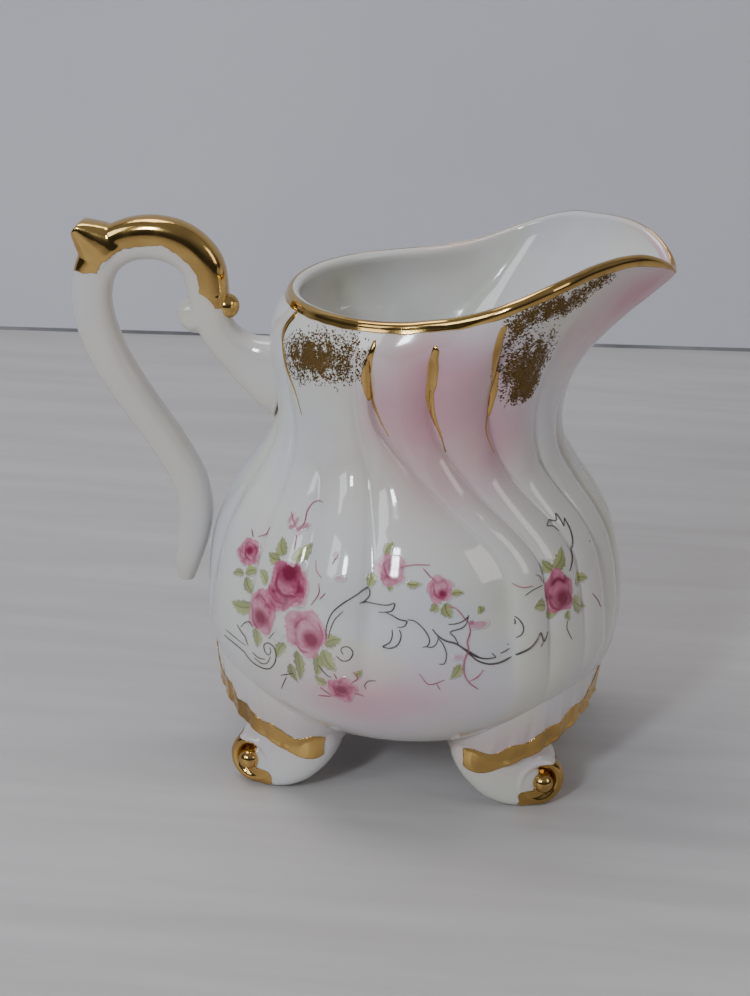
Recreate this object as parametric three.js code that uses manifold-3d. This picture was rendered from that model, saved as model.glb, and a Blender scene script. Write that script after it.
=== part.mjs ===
// Footed porcelain cream jug with a swirled belly, a raised pouring lip and a scrolled handle.
// Millimetres, +Z up. +X points along the pouring lip, the handle stands on the -X side.
import * as THREE from "three";
import { mergeVertices } from "three/addons/utils/BufferGeometryUtils.js";
import Module from "manifold-3d";

const wasm = await Module();
wasm.setup();

// ---- driving dimensions ----
const axisX = 9.975;        // vessel axis, set so that the whole jug is centred on the frame
const fitGap = 0.3;          // clearance left between neighbouring pieces
const undersideZ = 11.0;     // height of the flat underside of the vessel
const rimZ = 95.7;           // rim height on the handle side
const wall = 2.6;            // wall thickness of the vessel
const floorThick = 3.2;      // thickness of the vessel floor
const rimRise = 0.7;         // how far the rounded rim stands above the edge of the wall
const neckZ = 66.9;          // height where the lip starts to draw away from the round neck
const lipTurn = 3.0;         // how late the lip leaves the neck, higher is later
const lipRise = 1.3;         // how late the wall starts to climb to the lip
const grooveDepth = 1.7;     // depth of the flutes between the lobes
const lobeColumns = 5;       // facets across each lobe of the vessel
const fullLobe = 20;         // degrees: lobes narrower than this have shallower flutes
const twistFrom = 50.7;      // heights between which the flutes swing round the shoulder
const twistTo = 81;
const handleHalfWidth = 3.3; // half of the handle's width across Y
const handleSteps = 52;      // sections along the handle
const knobSpot = [-37.4, 91.2];
const knobRadius = 2.0;
const goldThick = 0.45;      // thickness of the gilding layers
const rimGoldDrop = 1.0;     // how far the rim gilding comes down outside
const rimGoldInset = 1.6;    // how far it goes over the rim
const hemLip = 1.3;          // thickness of the skirt at its hem
const skirtBury = 0.7;       // how far the top of the skirt sinks into the belly
const scrollSpot = [27.3, 22.1, 5.3]; // middle of the scroll of each foot
const scrollRadius = 5.3;
const scrollHalfThick = 3.4;
const ballSpot = [29.6, 24.4, 5.4];   // gilded ball in the eye of the scroll
const ballRadius = 3.2;
const footAlong = [0.93, -0.37];      // direction of a foot's face, outwards, seen from above
const footFacing = [0.37, 0.93];      // direction the face of a foot looks

// profile of the vessel: height and radius
const profile = [
  [11.0, 18], [11.8, 22.5], [13.7, 28], [17.0, 33.8], [21.8, 38.4], [28.4, 41.2], [35.5, 41.7],
  [43.6, 40.9], [50.7, 39.0], [56.8, 35.8], [61.8, 32.3], [66.9, 29.3], [72, 28.0], [79, 28.4],
  [86, 29.3], [91, 28.2], [95.7, 25.2],
];
// mouth outline, by angle from the lip: radius and height
const mouth = [
  [-5, 47.2, 104.2], [0, 47.9, 102.6], [5, 47.2, 104.2], [9.5, 45.8, 105.8], [14, 44.1, 107.0],
  [19, 42.4, 107.5], [24, 40.9, 107.5], [33, 39.3, 106.9], [43, 39.2, 105.9], [51, 38.6, 104.4],
  [57.5, 37.4, 102.7], [63, 35.6, 101.0], [68.5, 33.3, 99.5], [75, 31.0, 98.2], [82, 29.5, 97.4],
  [90, 28.7, 96.7], [107, 27.9, 96.1], [128, 27.1, 95.9], [145, 26.6, 95.8], [165, 26.0, 95.7],
  [180, 25.8, 95.7], [195, 26.0, 95.7],
];
// flutes, by angle from the lip: at the neck, at the belly, and how much of it shows on the neck
const flutes = [
  [9, 5, 1], [33, 18, 1], [57, 31, 1], [80, 45, 1], [102.5, 56, 1], [107, 97, 1], [128, 116, 0],
  [150, 135, 1], [171, 160, 1],
];
// heights and angles between which things fade in or out
const neckFade = [60, 72];
const fluteFadeIn = [22, 46];
const fluteFadeOut = [86, 93];
const lipFadeAngles = [20, 50];
const lipFadeHeights = [66, 80];

// ---- helpers ----
function curveOf(rows, column) {
  const points = rows.map((row) => new THREE.Vector2(row[0], row[column]));
  return (x) => {
    let i = 0;
    while (i < points.length - 2 && x > points[i + 1].x) i += 1;
    const before = points[Math.max(i - 1, 0)];
    const from = points[i];
    const to = points[i + 1];
    const after = points[Math.min(i + 2, points.length - 1)];
    const span = to.x - from.x;
    const s = THREE.MathUtils.clamp((x - from.x) / span, 0, 1);
    const slopeFrom = (to.y - before.y) / (to.x - before.x) * span;
    const slopeTo = (after.y - from.y) / (after.x - from.x) * span;
    const s2 = s * s;
    const s3 = s2 * s;
    return from.y * (2 * s3 - 3 * s2 + 1) + slopeFrom * (s3 - 2 * s2 + s)
      + to.y * (3 * s2 - 2 * s3) + slopeTo * (s3 - s2);
  };
}

const radiusAt = curveOf(profile, 1);
const mouthRadius = curveOf(mouth, 1);
const mouthHeight = curveOf(mouth, 2);
const smooth = THREE.MathUtils.smoothstep;

// angles of all the flutes at one height, right round the vessel
function fluteAngles(z) {
  const turn = smooth(z, twistFrom, twistTo);
  const half = flutes.map(([neck, belly]) => belly + (neck - belly) * turn);
  return [...half, ...[...half].reverse().map((angle) => 360 - angle), 360 + half[0]];
}

// how deep the wall lies between two crowns: 1 in the bottom of a flute, 0 on a crown
function fluteAt(angle, z) {
  const lines = fluteAngles(z);
  const onNeck = smooth(z, ...neckFade);
  const half = flutes.map((row) => 1 - (1 - row[2]) * onNeck);
  const strength = [...half, ...[...half].reverse(), half[0]];
  const place = angle < lines[0] ? angle + 360 : angle;
  let i = 0;
  while (i < lines.length - 2 && place > lines[i + 1]) i += 1;
  const width = lines[i + 1] - lines[i];
  const s = THREE.MathUtils.clamp((place - lines[i]) / width, 0, 1);
  const size = Math.min(1, width / fullLobe);
  const near = THREE.MathUtils.lerp(strength[i], strength[i + 1], smooth(s, 0.3, 0.7));
  return near * size * (1 - Math.pow(Math.sin(Math.PI * s), 0.6));
}

// point on the outside of the vessel, pushed out by an offset
function vesselPoint(azimuth, z, offset, smoothWall = false) {
  const folded = Math.abs(Math.atan2(Math.sin(azimuth), Math.cos(azimuth)));
  const angle = THREE.MathUtils.radToDeg(folded);
  const e = THREE.MathUtils.clamp((z - neckZ) / (rimZ - neckZ), 0, 1);
  const lipFade = 1 - (1 - smooth(angle, ...lipFadeAngles)) * smooth(z, ...lipFadeHeights);
  const depth = grooveDepth * smooth(z, ...fluteFadeIn) * (1 - smooth(z, ...fluteFadeOut)) * lipFade;
  let radius = radiusAt(z) + (mouthRadius(angle) - radiusAt(rimZ)) * Math.pow(e, lipTurn) + offset;
  if (!smoothWall) radius -= depth * fluteAt(angle, z);
  const height = z + (mouthHeight(angle) - rimZ) * Math.pow(e, lipRise);
  return new THREE.Vector3(axisX + radius * Math.cos(azimuth), radius * Math.sin(azimuth), height);
}

// closed solid from equal rings of points: ends closed by a fan, by a strip for thin folded
// sections, or left out when the rings run round a loop
function solidFromRings(rings, ends = "fan") {
  const count = rings[0].length;
  const positions = rings.flat().flatMap((p) => [p.x, p.y, p.z]);
  const index = [];
  const last = ends === "loop" ? rings.length : rings.length - 1;
  for (let r = 0; r < last; r += 1) {
    const a = r * count;
    const b = ((r + 1) % rings.length) * count;
    for (let i = 0; i < count; i += 1) {
      const j = (i + 1) % count;
      index.push(a + i, a + j, b + j, a + i, b + j, b + i);
    }
  }
  const caps = ends === "loop" ? [] : [[rings[0], 0, true], [rings[last], last * count, false]];
  for (const [ring, start, flip] of caps) {
    const cap = ends === "strip" ? stripCap(start, count) : fanCap(ring, start, positions);
    for (const [a, b, c] of cap) index.push(a, flip ? c : b, flip ? b : c);
  }
  const geometry = new THREE.BufferGeometry();
  geometry.setAttribute("position", new THREE.Float32BufferAttribute(positions, 3));
  geometry.setIndex(index);
  return outward(geometry);
}

function stripCap(start, count) {
  const cap = [];
  for (let i = 0; i < count / 2 - 1; i += 1) {
    const far = count - 1 - i;
    cap.push([start + i, start + i + 1, start + far - 1], [start + i, start + far - 1, start + far]);
  }
  return cap;
}

function fanCap(ring, start, positions) {
  const middle = ring.reduce((sum, p) => sum.add(p), new THREE.Vector3()).divideScalar(ring.length);
  const centre = positions.length / 3;
  positions.push(middle.x, middle.y, middle.z);
  return ring.map((_, i) => [centre, start + i, start + ((i + 1) % ring.length)]);
}

function outward(geometry) {
  const p = geometry.attributes.position;
  const index = geometry.index.array;
  let volume = 0;
  const a = new THREE.Vector3();
  const b = new THREE.Vector3();
  const c = new THREE.Vector3();
  for (let i = 0; i < index.length; i += 3) {
    a.fromBufferAttribute(p, index[i]);
    b.fromBufferAttribute(p, index[i + 1]);
    c.fromBufferAttribute(p, index[i + 2]);
    volume += a.dot(b.cross(c));
  }
  if (volume < 0) {
    for (let i = 0; i < index.length; i += 3) {
      [index[i + 1], index[i + 2]] = [index[i + 2], index[i + 1]];
    }
  }
  return geometry;
}

function toManifold(geometry) {
  const bare = geometry.clone();
  bare.deleteAttribute("normal");
  bare.deleteAttribute("uv");
  const welded = mergeVertices(bare, 1e-4);
  return new wasm.Manifold(new wasm.Mesh({
    numProp: 3,
    vertProperties: new Float32Array(welded.attributes.position.array),
    triVerts: new Uint32Array(welded.index.array),
  }));
}

function toGeometry(solid) {
  const mesh = solid.simplify(0.02).getMesh();
  const geometry = new THREE.BufferGeometry();
  geometry.setAttribute("position", new THREE.Float32BufferAttribute(mesh.vertProperties, 3));
  geometry.setIndex(new THREE.Uint32BufferAttribute(mesh.triVerts, 1));
  geometry.computeVertexNormals();
  return geometry;
}

function squared(value, power) {
  return Math.sign(value) * Math.pow(Math.abs(value), power);
}

// rounded section: a squared-off oval in the plane of two unit vectors
function ovalRing(centre, across, acrossSize, along, alongSize, count, power = 0.8) {
  const ring = [];
  for (let i = 0; i < count; i += 1) {
    const a = (i / count) * 2 * Math.PI;
    const u = squared(Math.cos(a), power) * acrossSize;
    const v = squared(Math.sin(a), power) * alongSize;
    ring.push(centre.clone().addScaledVector(across, u).addScaledVector(along, v));
  }
  return ring;
}

// ---- vessel ----
function levels(from, to, count) {
  return Array.from({ length: count }, (_, i) => from + ((to - from) * i) / (count - 1));
}

// one ring of points whose columns follow the flutes
function vesselRing(z, offset, smoothWall) {
  const lines = fluteAngles(z);
  const ring = [];
  for (let i = 0; i < lines.length - 1; i += 1) {
    for (let k = 0; k < lobeColumns; k += 1) {
      const angle = THREE.MathUtils.lerp(lines[i], lines[i + 1], k / lobeColumns);
      ring.push(vesselPoint(THREE.MathUtils.degToRad(angle), z, offset, smoothWall));
    }
  }
  return ring;
}

function outerRings(offset) {
  const lower = levels(undersideZ, 18, 5);
  const upper = levels(21.8, rimZ, 25);
  return [...lower, ...upper].map((z) => vesselRing(z, offset, false));
}

const rimTop = vesselRing(rimZ, -wall / 2, true).map((p) => p.setZ(p.z + rimRise));
const innerFloor = undersideZ + floorThick;
const floorCorner = 7.5;
const wallSwell = 0.5;
const innerLevels = [...levels(rimZ, 24, 12), 18.6, innerFloor + 1.8, innerFloor];
const innerRings = innerLevels.map((z, i) => {
  const inset = i === innerLevels.length - 1 ? floorCorner : 0;
  return vesselRing(z, -(wall + wallSwell * smooth(rimZ - z, 4, 20) + inset), true);
});
const shellRings = [...outerRings(0), rimTop, ...innerRings];
const bodyGeometry = solidFromRings(shellRings);
bodyGeometry.computeVertexNormals();
const rimCover = rimTop.map((p) => p.clone().setZ(p.z + fitGap));
const bodyKeepOut = toManifold(solidFromRings([...outerRings(fitGap), rimCover]));

// ---- handle ----
const handlePath = [
  // x from the vessel axis, z, half depth
  [-47.2, 32.6, 1.3], [-46.3, 36.6, 2.4], [-45.2, 42.2, 3.1], [-44.7, 48.4, 3.3],
  [-46.2, 55.0, 3.2], [-50.4, 62.2, 3.2], [-56.0, 70.1, 3.4], [-61.3, 78.4, 3.7],
  [-64.3, 86.3, 3.8], [-64.8, 92.8, 3.8], [-62.9, 98.8, 3.8], [-58.5, 102.4, 3.7],
  [-52.8, 103.7, 3.7], [-47.3, 102.6, 3.8], [-43.2, 99.0, 3.8], [-41.8, 94.2, 3.8],
  [-41.4, 89.4, 3.6], [-39.2, 84.6, 3.4], [-35.2, 81.2, 4.3], [-29.6, 79.2, 6.2],
  [-26.0, 78.6, 6.6],
];
const handleCurve = new THREE.CatmullRomCurve3(
  handlePath.map(([x, z]) => new THREE.Vector3(axisX + x, 0, z)), false, "centripetal");
const acrossY = new THREE.Vector3(0, 1, 0);
const baseFlare = 1.4;       // widening where the upper arm meets the neck
const squareness = 0.82;     // power of the squared-off section, 1 is a plain oval

function handleHalfDepth(t) {
  const place = t * (handlePath.length - 1);
  const i = Math.min(Math.floor(place), handlePath.length - 2);
  return THREE.MathUtils.lerp(handlePath[i][2], handlePath[i + 1][2], place - i);
}

function handleFrame(t) {
  const centre = handleCurve.getPoint(t);
  const tangent = handleCurve.getTangent(t);
  const out = new THREE.Vector3().crossVectors(tangent, acrossY).normalize();
  return { centre, out };
}

function handleSection(t) {
  const { centre, out } = handleFrame(t);
  const depth = handleHalfDepth(t);
  const width = Math.min(handleHalfWidth + baseFlare * smooth(t, 0.9, 1), depth * 1.25);
  return ovalRing(centre, acrossY, width, out, depth, 14, squareness);
}

let handleSolid = toManifold(solidFromRings(levels(0, 1, handleSteps).map(handleSection)));

function knob(x, z, size, halfWidth) {
  const ball = new THREE.SphereGeometry(size, 14, 10);
  ball.scale(1, halfWidth / size, 1);
  ball.translate(axisX + x, 0, z);
  return toManifold(ball);
}

const spurTaper = 0.72;

function spur(from, to, size) {
  const start = new THREE.Vector3(axisX + from[0], 0, from[1]);
  const end = new THREE.Vector3(axisX + to[0], 0, to[1]);
  const out = new THREE.Vector3().subVectors(end, start).normalize().cross(acrossY);
  const rings = [0, 0.35, 0.7, 1].map((s) => {
    const scale = size * (1 - spurTaper * s);
    return ovalRing(start.clone().lerp(end, s), acrossY, scale, out, scale, 12);
  });
  return toManifold(solidFromRings(rings));
}

const spurRoot = [-61.3, 101.0];
const innerCurl = knob(-45.0, 88.2, 4.4, 3.0);
const backSpur = spur(spurRoot, [-67.4, 105.0], 3.6);
const knobKeepOut = knob(...knobSpot, knobRadius + fitGap, knobRadius + fitGap);
handleSolid = handleSolid.add(innerCurl).add(backSpur).subtract(bodyKeepOut).subtract(knobKeepOut);

// gilding on the outer side of the top arc, open along the inner edge
const goldFrom = 0.475;      // share of the handle's length where it starts and stops
const goldTo = 0.79;
const goldHalfArc = 112;     // degrees of the section it covers on each side
const loopMiddle = new THREE.Vector3(axisX - 54, 0, 91);

function gildSection(t) {
  const { centre, out } = handleFrame(t);
  const depth = handleHalfDepth(t);
  const outward = out.clone();
  if (outward.dot(centre.clone().sub(loopMiddle)) < 0) outward.negate();
  const arc = levels(-goldHalfArc, goldHalfArc, 9).map(THREE.MathUtils.degToRad);
  const shape = (grow, angles) => angles.map((a) => {
    const u = squared(Math.sin(a), squareness) * (handleHalfWidth + grow);
    const v = squared(Math.cos(a), squareness) * (depth + grow);
    return centre.clone().addScaledVector(acrossY, u).addScaledVector(outward, v);
  });
  return [...shape(fitGap + goldThick, arc), ...shape(fitGap, [...arc].reverse())];
}

const spurKeepOut = spur(spurRoot, [-68.4, 105.7], 3.95);
const handleGold = toManifold(solidFromRings(levels(goldFrom, goldTo, 20).map(gildSection), "strip"))
  .subtract(spurKeepOut)
  .add(knob(...knobSpot, knobRadius, knobRadius));

// ---- feet ----
// skirt stations: angle from the lip, hem radius, hem height, top height
const skirt = [
  [6, 37.6, 22.8, 24.0], [14, 39.0, 20.3, 26.0], [24, 39.4, 17.9, 27.0], [32, 39.2, 16.2, 26.8],
  [40, 38.6, 14.2, 26.0], [47, 37.4, 12.6, 24.8], [53, 35.6, 11.1, 22.8], [58.5, 33.0, 10.0, 20.5],
  [63, 30.4, 10.4, 17.8], [67, 27.4, 13.0, 15.4],
];
const skirtEnds = [6, 67];
const hemRadius = curveOf(skirt, 1);
const hemHeight = curveOf(skirt, 2);
const skirtTop = curveOf(skirt, 3);

function footPoint(angle, radius, z, signX, signY) {
  const a = THREE.MathUtils.degToRad(angle);
  return new THREE.Vector3(axisX + signX * radius * Math.cos(a), signY * radius * Math.sin(a), z);
}

const skirtFlare = 1.5;

// outside of the skirt, from its top line on the belly (0) to the hem (1)
function skirtOutline(angle, s) {
  const top = skirtTop(angle);
  const hemZ = hemHeight(angle);
  const z = top + (hemZ - top) * s;
  const start = radiusAt(top) - skirtBury;
  const radius = start + (hemRadius(angle) - start) * Math.pow(s, skirtFlare);
  return [radius, z];
}

function skirtSolid(signX, signY) {
  const rings = levels(...skirtEnds, 17).map((angle) => {
    const section = [0, 0.25, 0.5, 0.75, 1].map((s) => skirtOutline(angle, s));
    const [hemR, hemZ] = section[4];
    section.push([hemR - 0.3, hemZ - hemLip], [hemR - 6, hemZ - 0.6], [hemR - 12, hemZ + 1.5]);
    section.push([Math.min(radiusAt(skirtTop(angle)) - 10, hemR - 12.5), skirtTop(angle)]);
    return section.map(([r, z]) => footPoint(angle, r, z, signX, signY));
  });
  return toManifold(solidFromRings(rings));
}

// leg stations: height, inner and outer end along the face, half thickness
const leg = [
  [0, -4.0, 2.0, 1.9], [0.4, -5.9, 2.9, 2.6], [1.2, -8.3, 3.6, 3.1], [3, -11.2, 4.4, 3.6],
  [6, -14.0, 4.9, 4.3], [9, -15.8, 4.6, 5.0], [11.5, -16.4, 3.6, 5.6], [14.5, -15.6, 2.0, 5.8],
];
const legFace = 3.3;         // how far the face of the leg stands before the middle of the scroll

// unit vectors of one foot: along its face, the way it looks, and up
function footWays(signX, signY) {
  return [
    new THREE.Vector3(signX * footAlong[0], signY * footAlong[1], 0),
    new THREE.Vector3(signX * footFacing[0], signY * footFacing[1], 0),
    new THREE.Vector3(0, 0, 1),
  ];
}

function footSpot([x, y, z], signX, signY) {
  return new THREE.Vector3(axisX + signX * x, signY * y, z);
}

function legSolid(signX, signY) {
  const [along, facing] = footWays(signX, signY);
  const rings = leg.map(([z, inner, outer, thick]) => {
    const centre = footSpot([scrollSpot[0], scrollSpot[1], z], signX, signY)
      .addScaledVector(along, (inner + outer) / 2)
      .addScaledVector(facing, Math.min(0, legFace - thick));
    return ovalRing(centre, along, (outer - inner) / 2, facing, thick, 18, 0.9);
  });
  return toManifold(solidFromRings(rings));
}

// round scroll that the foot stands on, its rim rounded
function scrollSolid(signX, signY) {
  const [along, facing, up] = footWays(signX, signY);
  const middle = footSpot(scrollSpot, signX, signY);
  const rings = levels(-80, 80, 9).map(THREE.MathUtils.degToRad).map((turn) => {
    const centre = middle.clone().addScaledVector(facing, scrollHalfThick * Math.sin(turn));
    const size = scrollRadius * Math.sqrt(Math.cos(turn));
    return ovalRing(centre, along, size, up, size, 20, 1);
  });
  return toManifold(solidFromRings(rings));
}

function scrollBall(signX, signY, grow) {
  const ball = new THREE.SphereGeometry(ballRadius + grow, 14, 10);
  const spot = footSpot(ballSpot, signX, signY);
  ball.translate(spot.x, spot.y, spot.z);
  return ball;
}

function footSolid(signX, signY) {
  return skirtSolid(signX, signY)
    .add(legSolid(signX, signY))
    .add(scrollSolid(signX, signY))
    .subtract(bodyKeepOut)
    .subtract(toManifold(scrollBall(signX, signY, fitGap)));
}

// gilding along the hem, its upper edge waving along the skirt
const hemGoldEnds = [9, 62];
const hemGoldShare = 0.58;
const hemGoldWave = 0.06;

function hemGold(signX, signY) {
  const rings = levels(...hemGoldEnds, 18).map((angle) => {
    const spread = hemGoldShare + hemGoldWave * Math.sin(angle * 0.55);
    const face = [spread, 0.8, 1].map((s) => skirtOutline(angle, s));
    const inner = face.map(([r, z]) => [r + fitGap, z]);
    const outer = face.map(([r, z]) => [r + fitGap + goldThick, z]);
    const section = [...inner, ...outer.reverse()];
    return section.map(([r, z]) => footPoint(angle, r, z, signX, signY));
  });
  return toManifold(solidFromRings(rings, "strip"))
    .subtract(bodyKeepOut)
    .subtract(legSolid(signX, signY));
}

// ---- rim gilding ----
const rimGoldColumns = 90;

function rimGoldRing(i) {
  const azimuth = (i / rimGoldColumns) * 2 * Math.PI;
  const reach = fitGap + goldThick;
  const foot = vesselPoint(azimuth, rimZ - rimGoldDrop, reach, true);
  const buried = vesselPoint(azimuth, rimZ - rimGoldDrop, -0.8, true);
  const edge = vesselPoint(azimuth, rimZ, reach, true);
  const crown = vesselPoint(azimuth, rimZ, -rimGoldInset, true);
  return [
    buried, foot, edge.setZ(edge.z + 0.5), crown.clone().setZ(crown.z + 1.5), crown.setZ(crown.z - 0.5),
  ];
}

const rimGoldPlaces = levels(0, rimGoldColumns - 1, rimGoldColumns);
const rimGold = toManifold(solidFromRings(rimGoldPlaces.map(rimGoldRing), "loop"))
  .subtract(bodyKeepOut);

// ---- colours ----
const porcelain = { color: 0xe9e6e2, roughness: 0.12, metalness: 0 };
const gold = { color: 0xc79a3c, roughness: 0.2, metalness: 1 };
const jug = new THREE.Group();
jug.name = "porcelain_cream_jug";

function addPiece(name, geometry, look) {
  const mesh = new THREE.Mesh(geometry, new THREE.MeshStandardMaterial(look));
  mesh.name = name;
  jug.add(mesh);
}

addPiece("jug_body", bodyGeometry, porcelain);
addPiece("handle", toGeometry(handleSolid), porcelain);
addPiece("handle_gilding", toGeometry(handleGold), gold);
addPiece("rim_gilding", toGeometry(rimGold), gold);

const corners = [
  ["front_left", -1, -1], ["front_right", 1, -1], ["back_left", -1, 1], ["back_right", 1, 1],
];
for (const [place, signX, signY] of corners) {
  addPiece(`foot_${place}`, toGeometry(footSolid(signX, signY)), porcelain);
  addPiece(`gilding_${place}`, toGeometry(hemGold(signX, signY)), gold);
  addPiece(`curl_${place}`, mergeVertices(scrollBall(signX, signY, 0), 1e-4), gold);
}

export default jug;
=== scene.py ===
import math
import bpy
import bmesh
import numpy as np
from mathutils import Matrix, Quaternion, Vector


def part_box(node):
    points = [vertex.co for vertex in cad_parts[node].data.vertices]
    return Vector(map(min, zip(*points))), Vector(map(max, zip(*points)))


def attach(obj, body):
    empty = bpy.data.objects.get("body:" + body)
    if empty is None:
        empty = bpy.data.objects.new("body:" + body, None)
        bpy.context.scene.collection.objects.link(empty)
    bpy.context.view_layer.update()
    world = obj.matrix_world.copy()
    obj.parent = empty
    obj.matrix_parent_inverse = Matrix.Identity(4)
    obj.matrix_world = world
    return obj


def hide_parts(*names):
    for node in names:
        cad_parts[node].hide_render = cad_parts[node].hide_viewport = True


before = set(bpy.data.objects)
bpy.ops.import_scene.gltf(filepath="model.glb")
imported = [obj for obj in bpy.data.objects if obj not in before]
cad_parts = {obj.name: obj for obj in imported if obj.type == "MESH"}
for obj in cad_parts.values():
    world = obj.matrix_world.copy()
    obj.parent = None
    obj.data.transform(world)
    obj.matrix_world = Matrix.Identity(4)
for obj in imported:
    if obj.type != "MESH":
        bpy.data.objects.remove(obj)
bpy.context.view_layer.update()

mm = 0.001
body = "root"

# the vessel stands midway between its left and right feet
axisX = (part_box("foot_front_left")[0].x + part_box("foot_front_right")[1].x) / 2 / mm


# shared helpers

def smoothStep(x, low, high):
    t = np.clip((np.asarray(x, float) - low) / (high - low), 0, 1)
    return t * t * (3 - 2 * t)


def smoothCurve(rows, column):
    # smooth curve through rows of (place, value, ...)
    place = np.array([row[0] for row in rows], float)
    value = np.array([row[column] for row in rows], float)
    before = np.r_[0, np.arange(len(rows) - 1)]
    after = np.r_[np.arange(1, len(rows)), len(rows) - 1]
    slope = (value[after] - value[before]) / (place[after] - place[before])

    def at(x):
        x = np.asarray(x, float)
        i = np.clip(np.searchsorted(place, x) - 1, 0, len(rows) - 2)
        span = place[i + 1] - place[i]
        s = np.clip((x - place[i]) / span, 0, 1)
        s2, s3 = s * s, s * s * s
        start = value[i] * (2 * s3 - 3 * s2 + 1) + slope[i] * span * (s3 - 2 * s2 + s)
        end = value[i + 1] * (3 * s2 - 2 * s3) + slope[i + 1] * span * (s3 - s2)
        return start + end
    return at


def smoothPath(points, steps):
    # a smooth curve through points, with even steps between them
    points = np.asarray(points, float)
    gaps = np.sqrt(np.linalg.norm(np.diff(points, axis=0), axis=1))
    place = np.r_[0, np.cumsum(gaps)]
    rows = np.column_stack([place, points])
    t = np.linspace(0, place[-1], steps)
    return np.column_stack([smoothCurve(rows, c + 1)(t) for c in range(points.shape[1])])


def gridFaces(rows, columns, wrap):
    r = np.arange(rows - 1)[:, None]
    c = np.arange(columns if wrap else columns - 1)[None, :]
    d = (c + 1) % columns
    quads = np.stack([r * columns + c, r * columns + d, (r + 1) * columns + d, (r + 1) * columns + c], -1)
    return quads.reshape(-1, 4).tolist()


def makeObject(name, points, faces, material=None, smooth=True):
    # points in millimetres, in the frame
    mesh = bpy.data.meshes.new(name)
    mesh.from_pydata((np.asarray(points, float) * mm).tolist(), [], faces)
    mesh.update()
    made = bpy.data.objects.new(name, mesh)
    bpy.context.scene.collection.objects.link(made)
    if smooth:
        mesh.shade_smooth()
    if material:
        mesh.materials.append(material)
    return made


def outward(made):
    edit = bmesh.new()
    edit.from_mesh(made.data)
    bmesh.ops.recalc_face_normals(edit, faces=edit.faces)
    if edit.calc_volume(signed=True) < 0:
        bmesh.ops.reverse_faces(edit, faces=edit.faces)
    edit.to_mesh(made.data)
    edit.free()
    return made


def meshPoints(mesh):
    flat = np.empty(len(mesh.vertices) * 3, np.float32)
    mesh.vertices.foreach_get("co", flat)
    return flat.reshape(-1, 3).astype(float) / mm


def meshNormals(mesh):
    flat = np.empty(len(mesh.vertices) * 3, np.float32)
    mesh.vertex_normals.foreach_get("vector", flat)
    return flat.reshape(-1, 3).astype(float)


def movePoints(mesh, points):
    mesh.vertices.foreach_set("co", (points * mm).astype(np.float32).ravel())
    mesh.update()


def storeValue(mesh, name, values):
    layer = mesh.attributes.new(name, "FLOAT", "POINT")
    layer.data.foreach_set("value", np.asarray(values, np.float32))


def storeColour(mesh, name, colours):
    layer = mesh.color_attributes.new(name, "FLOAT_COLOR", "POINT")
    layer.data.foreach_set("color", np.asarray(colours, np.float32).ravel())


def applyModifiers(made):
    seen = bpy.context.evaluated_depsgraph_get()
    plain = bpy.data.meshes.new_from_object(made.evaluated_get(seen))
    made.modifiers.clear()
    old = made.data
    made.data = plain
    bpy.data.meshes.remove(old)
    plain.shade_smooth()
    return made


def placePiece(made, slotName, *nodes):
    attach(made, body)
    if nodes:
        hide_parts(*nodes)
    return made


def softNoise(points, scale, seed):
    # smooth noise from a few crossed waves, from -1 to 1
    rng = np.random.default_rng(seed)
    total = np.zeros(len(points))
    for _ in range(9):
        way = rng.normal(size=points.shape[1])
        way *= rng.uniform(0.6, 1.6) / np.linalg.norm(way) / scale * 2 * math.pi
        total += np.sin(points @ way + rng.uniform(0, 2 * math.pi))
    return total / 4.5


# vessel form

vesselForm = {
    "profile": [  # height, radius
        (11.0, 18), (11.8, 22.5), (13.7, 28), (17.0, 33.8), (21.8, 38.4), (28.4, 41.2),
        (35.5, 41.7), (43.6, 40.9),
        (50.7, 39.0), (56.8, 35.8), (61.8, 32.3), (66.9, 29.3), (72, 28.0), (79, 28.4),
        (86, 29.3), (91, 28.2),
        (95.7, 25.2)],
    "mouth": [  # degrees from the lip, radius, height
        (-5, 47.2, 104.2), (0, 47.9, 102.6), (5, 47.2, 104.2), (9.5, 45.8, 105.8), (14, 44.1, 107.0),
        (19, 42.4, 107.5), (24, 40.9, 107.5), (33, 39.3, 106.9), (43, 39.2, 105.9), (51, 38.6, 104.4),
        (57.5, 37.4, 102.7), (63, 35.6, 101.0), (68.5, 33.3, 99.5), (75, 31.0, 98.2), (82, 29.5, 97.4),
        (90, 28.7, 96.7), (107, 27.9, 96.1), (128, 27.1, 95.9), (145, 26.6, 95.8), (165, 26.0, 95.7),
        (180, 25.8, 95.7), (195, 26.0, 95.7)],
    "flutes": [  # degrees from the lip at the neck and at the belly, and how much shows on the neck
        (9, 5, 1), (33, 18, 1), (57, 31, 1), (80, 45, 1), (102.5, 56, 1), (107, 97, 1), (128, 116, 0),
        (150, 135, 1), (171, 160, 1)],
    "twistFrom": 50.7, "twistTo": 81,
    "rimHeight": 95.7, "neckHeight": 66.9, "undersideHeight": 11.0,
    "lipTurn": 3.6, "lipRound": 1.25, "lipRise": 1.3,
    "grooveDepth": 1.8,
    "columnsPerLobe": 16,
    "rowSpacing": 0.62,
    "wall": 2.5, "floorThick": 3.2,
}

radiusAt = smoothCurve(vesselForm["profile"], 1)
mouthRadius = smoothCurve(vesselForm["mouth"], 1)
mouthHeight = smoothCurve(vesselForm["mouth"], 2)


def fluteLines(z):
    # angles of every flute right round the vessel, one row for each height
    turn = smoothStep(z, vesselForm["twistFrom"], vesselForm["twistTo"])[..., None]
    neck = np.array([f[0] for f in vesselForm["flutes"]], float)
    belly = np.array([f[1] for f in vesselForm["flutes"]], float)
    half = belly + (neck - belly) * turn
    return np.concatenate([half, 360 - half[..., ::-1], 360 + half[..., :1]], -1)


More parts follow.
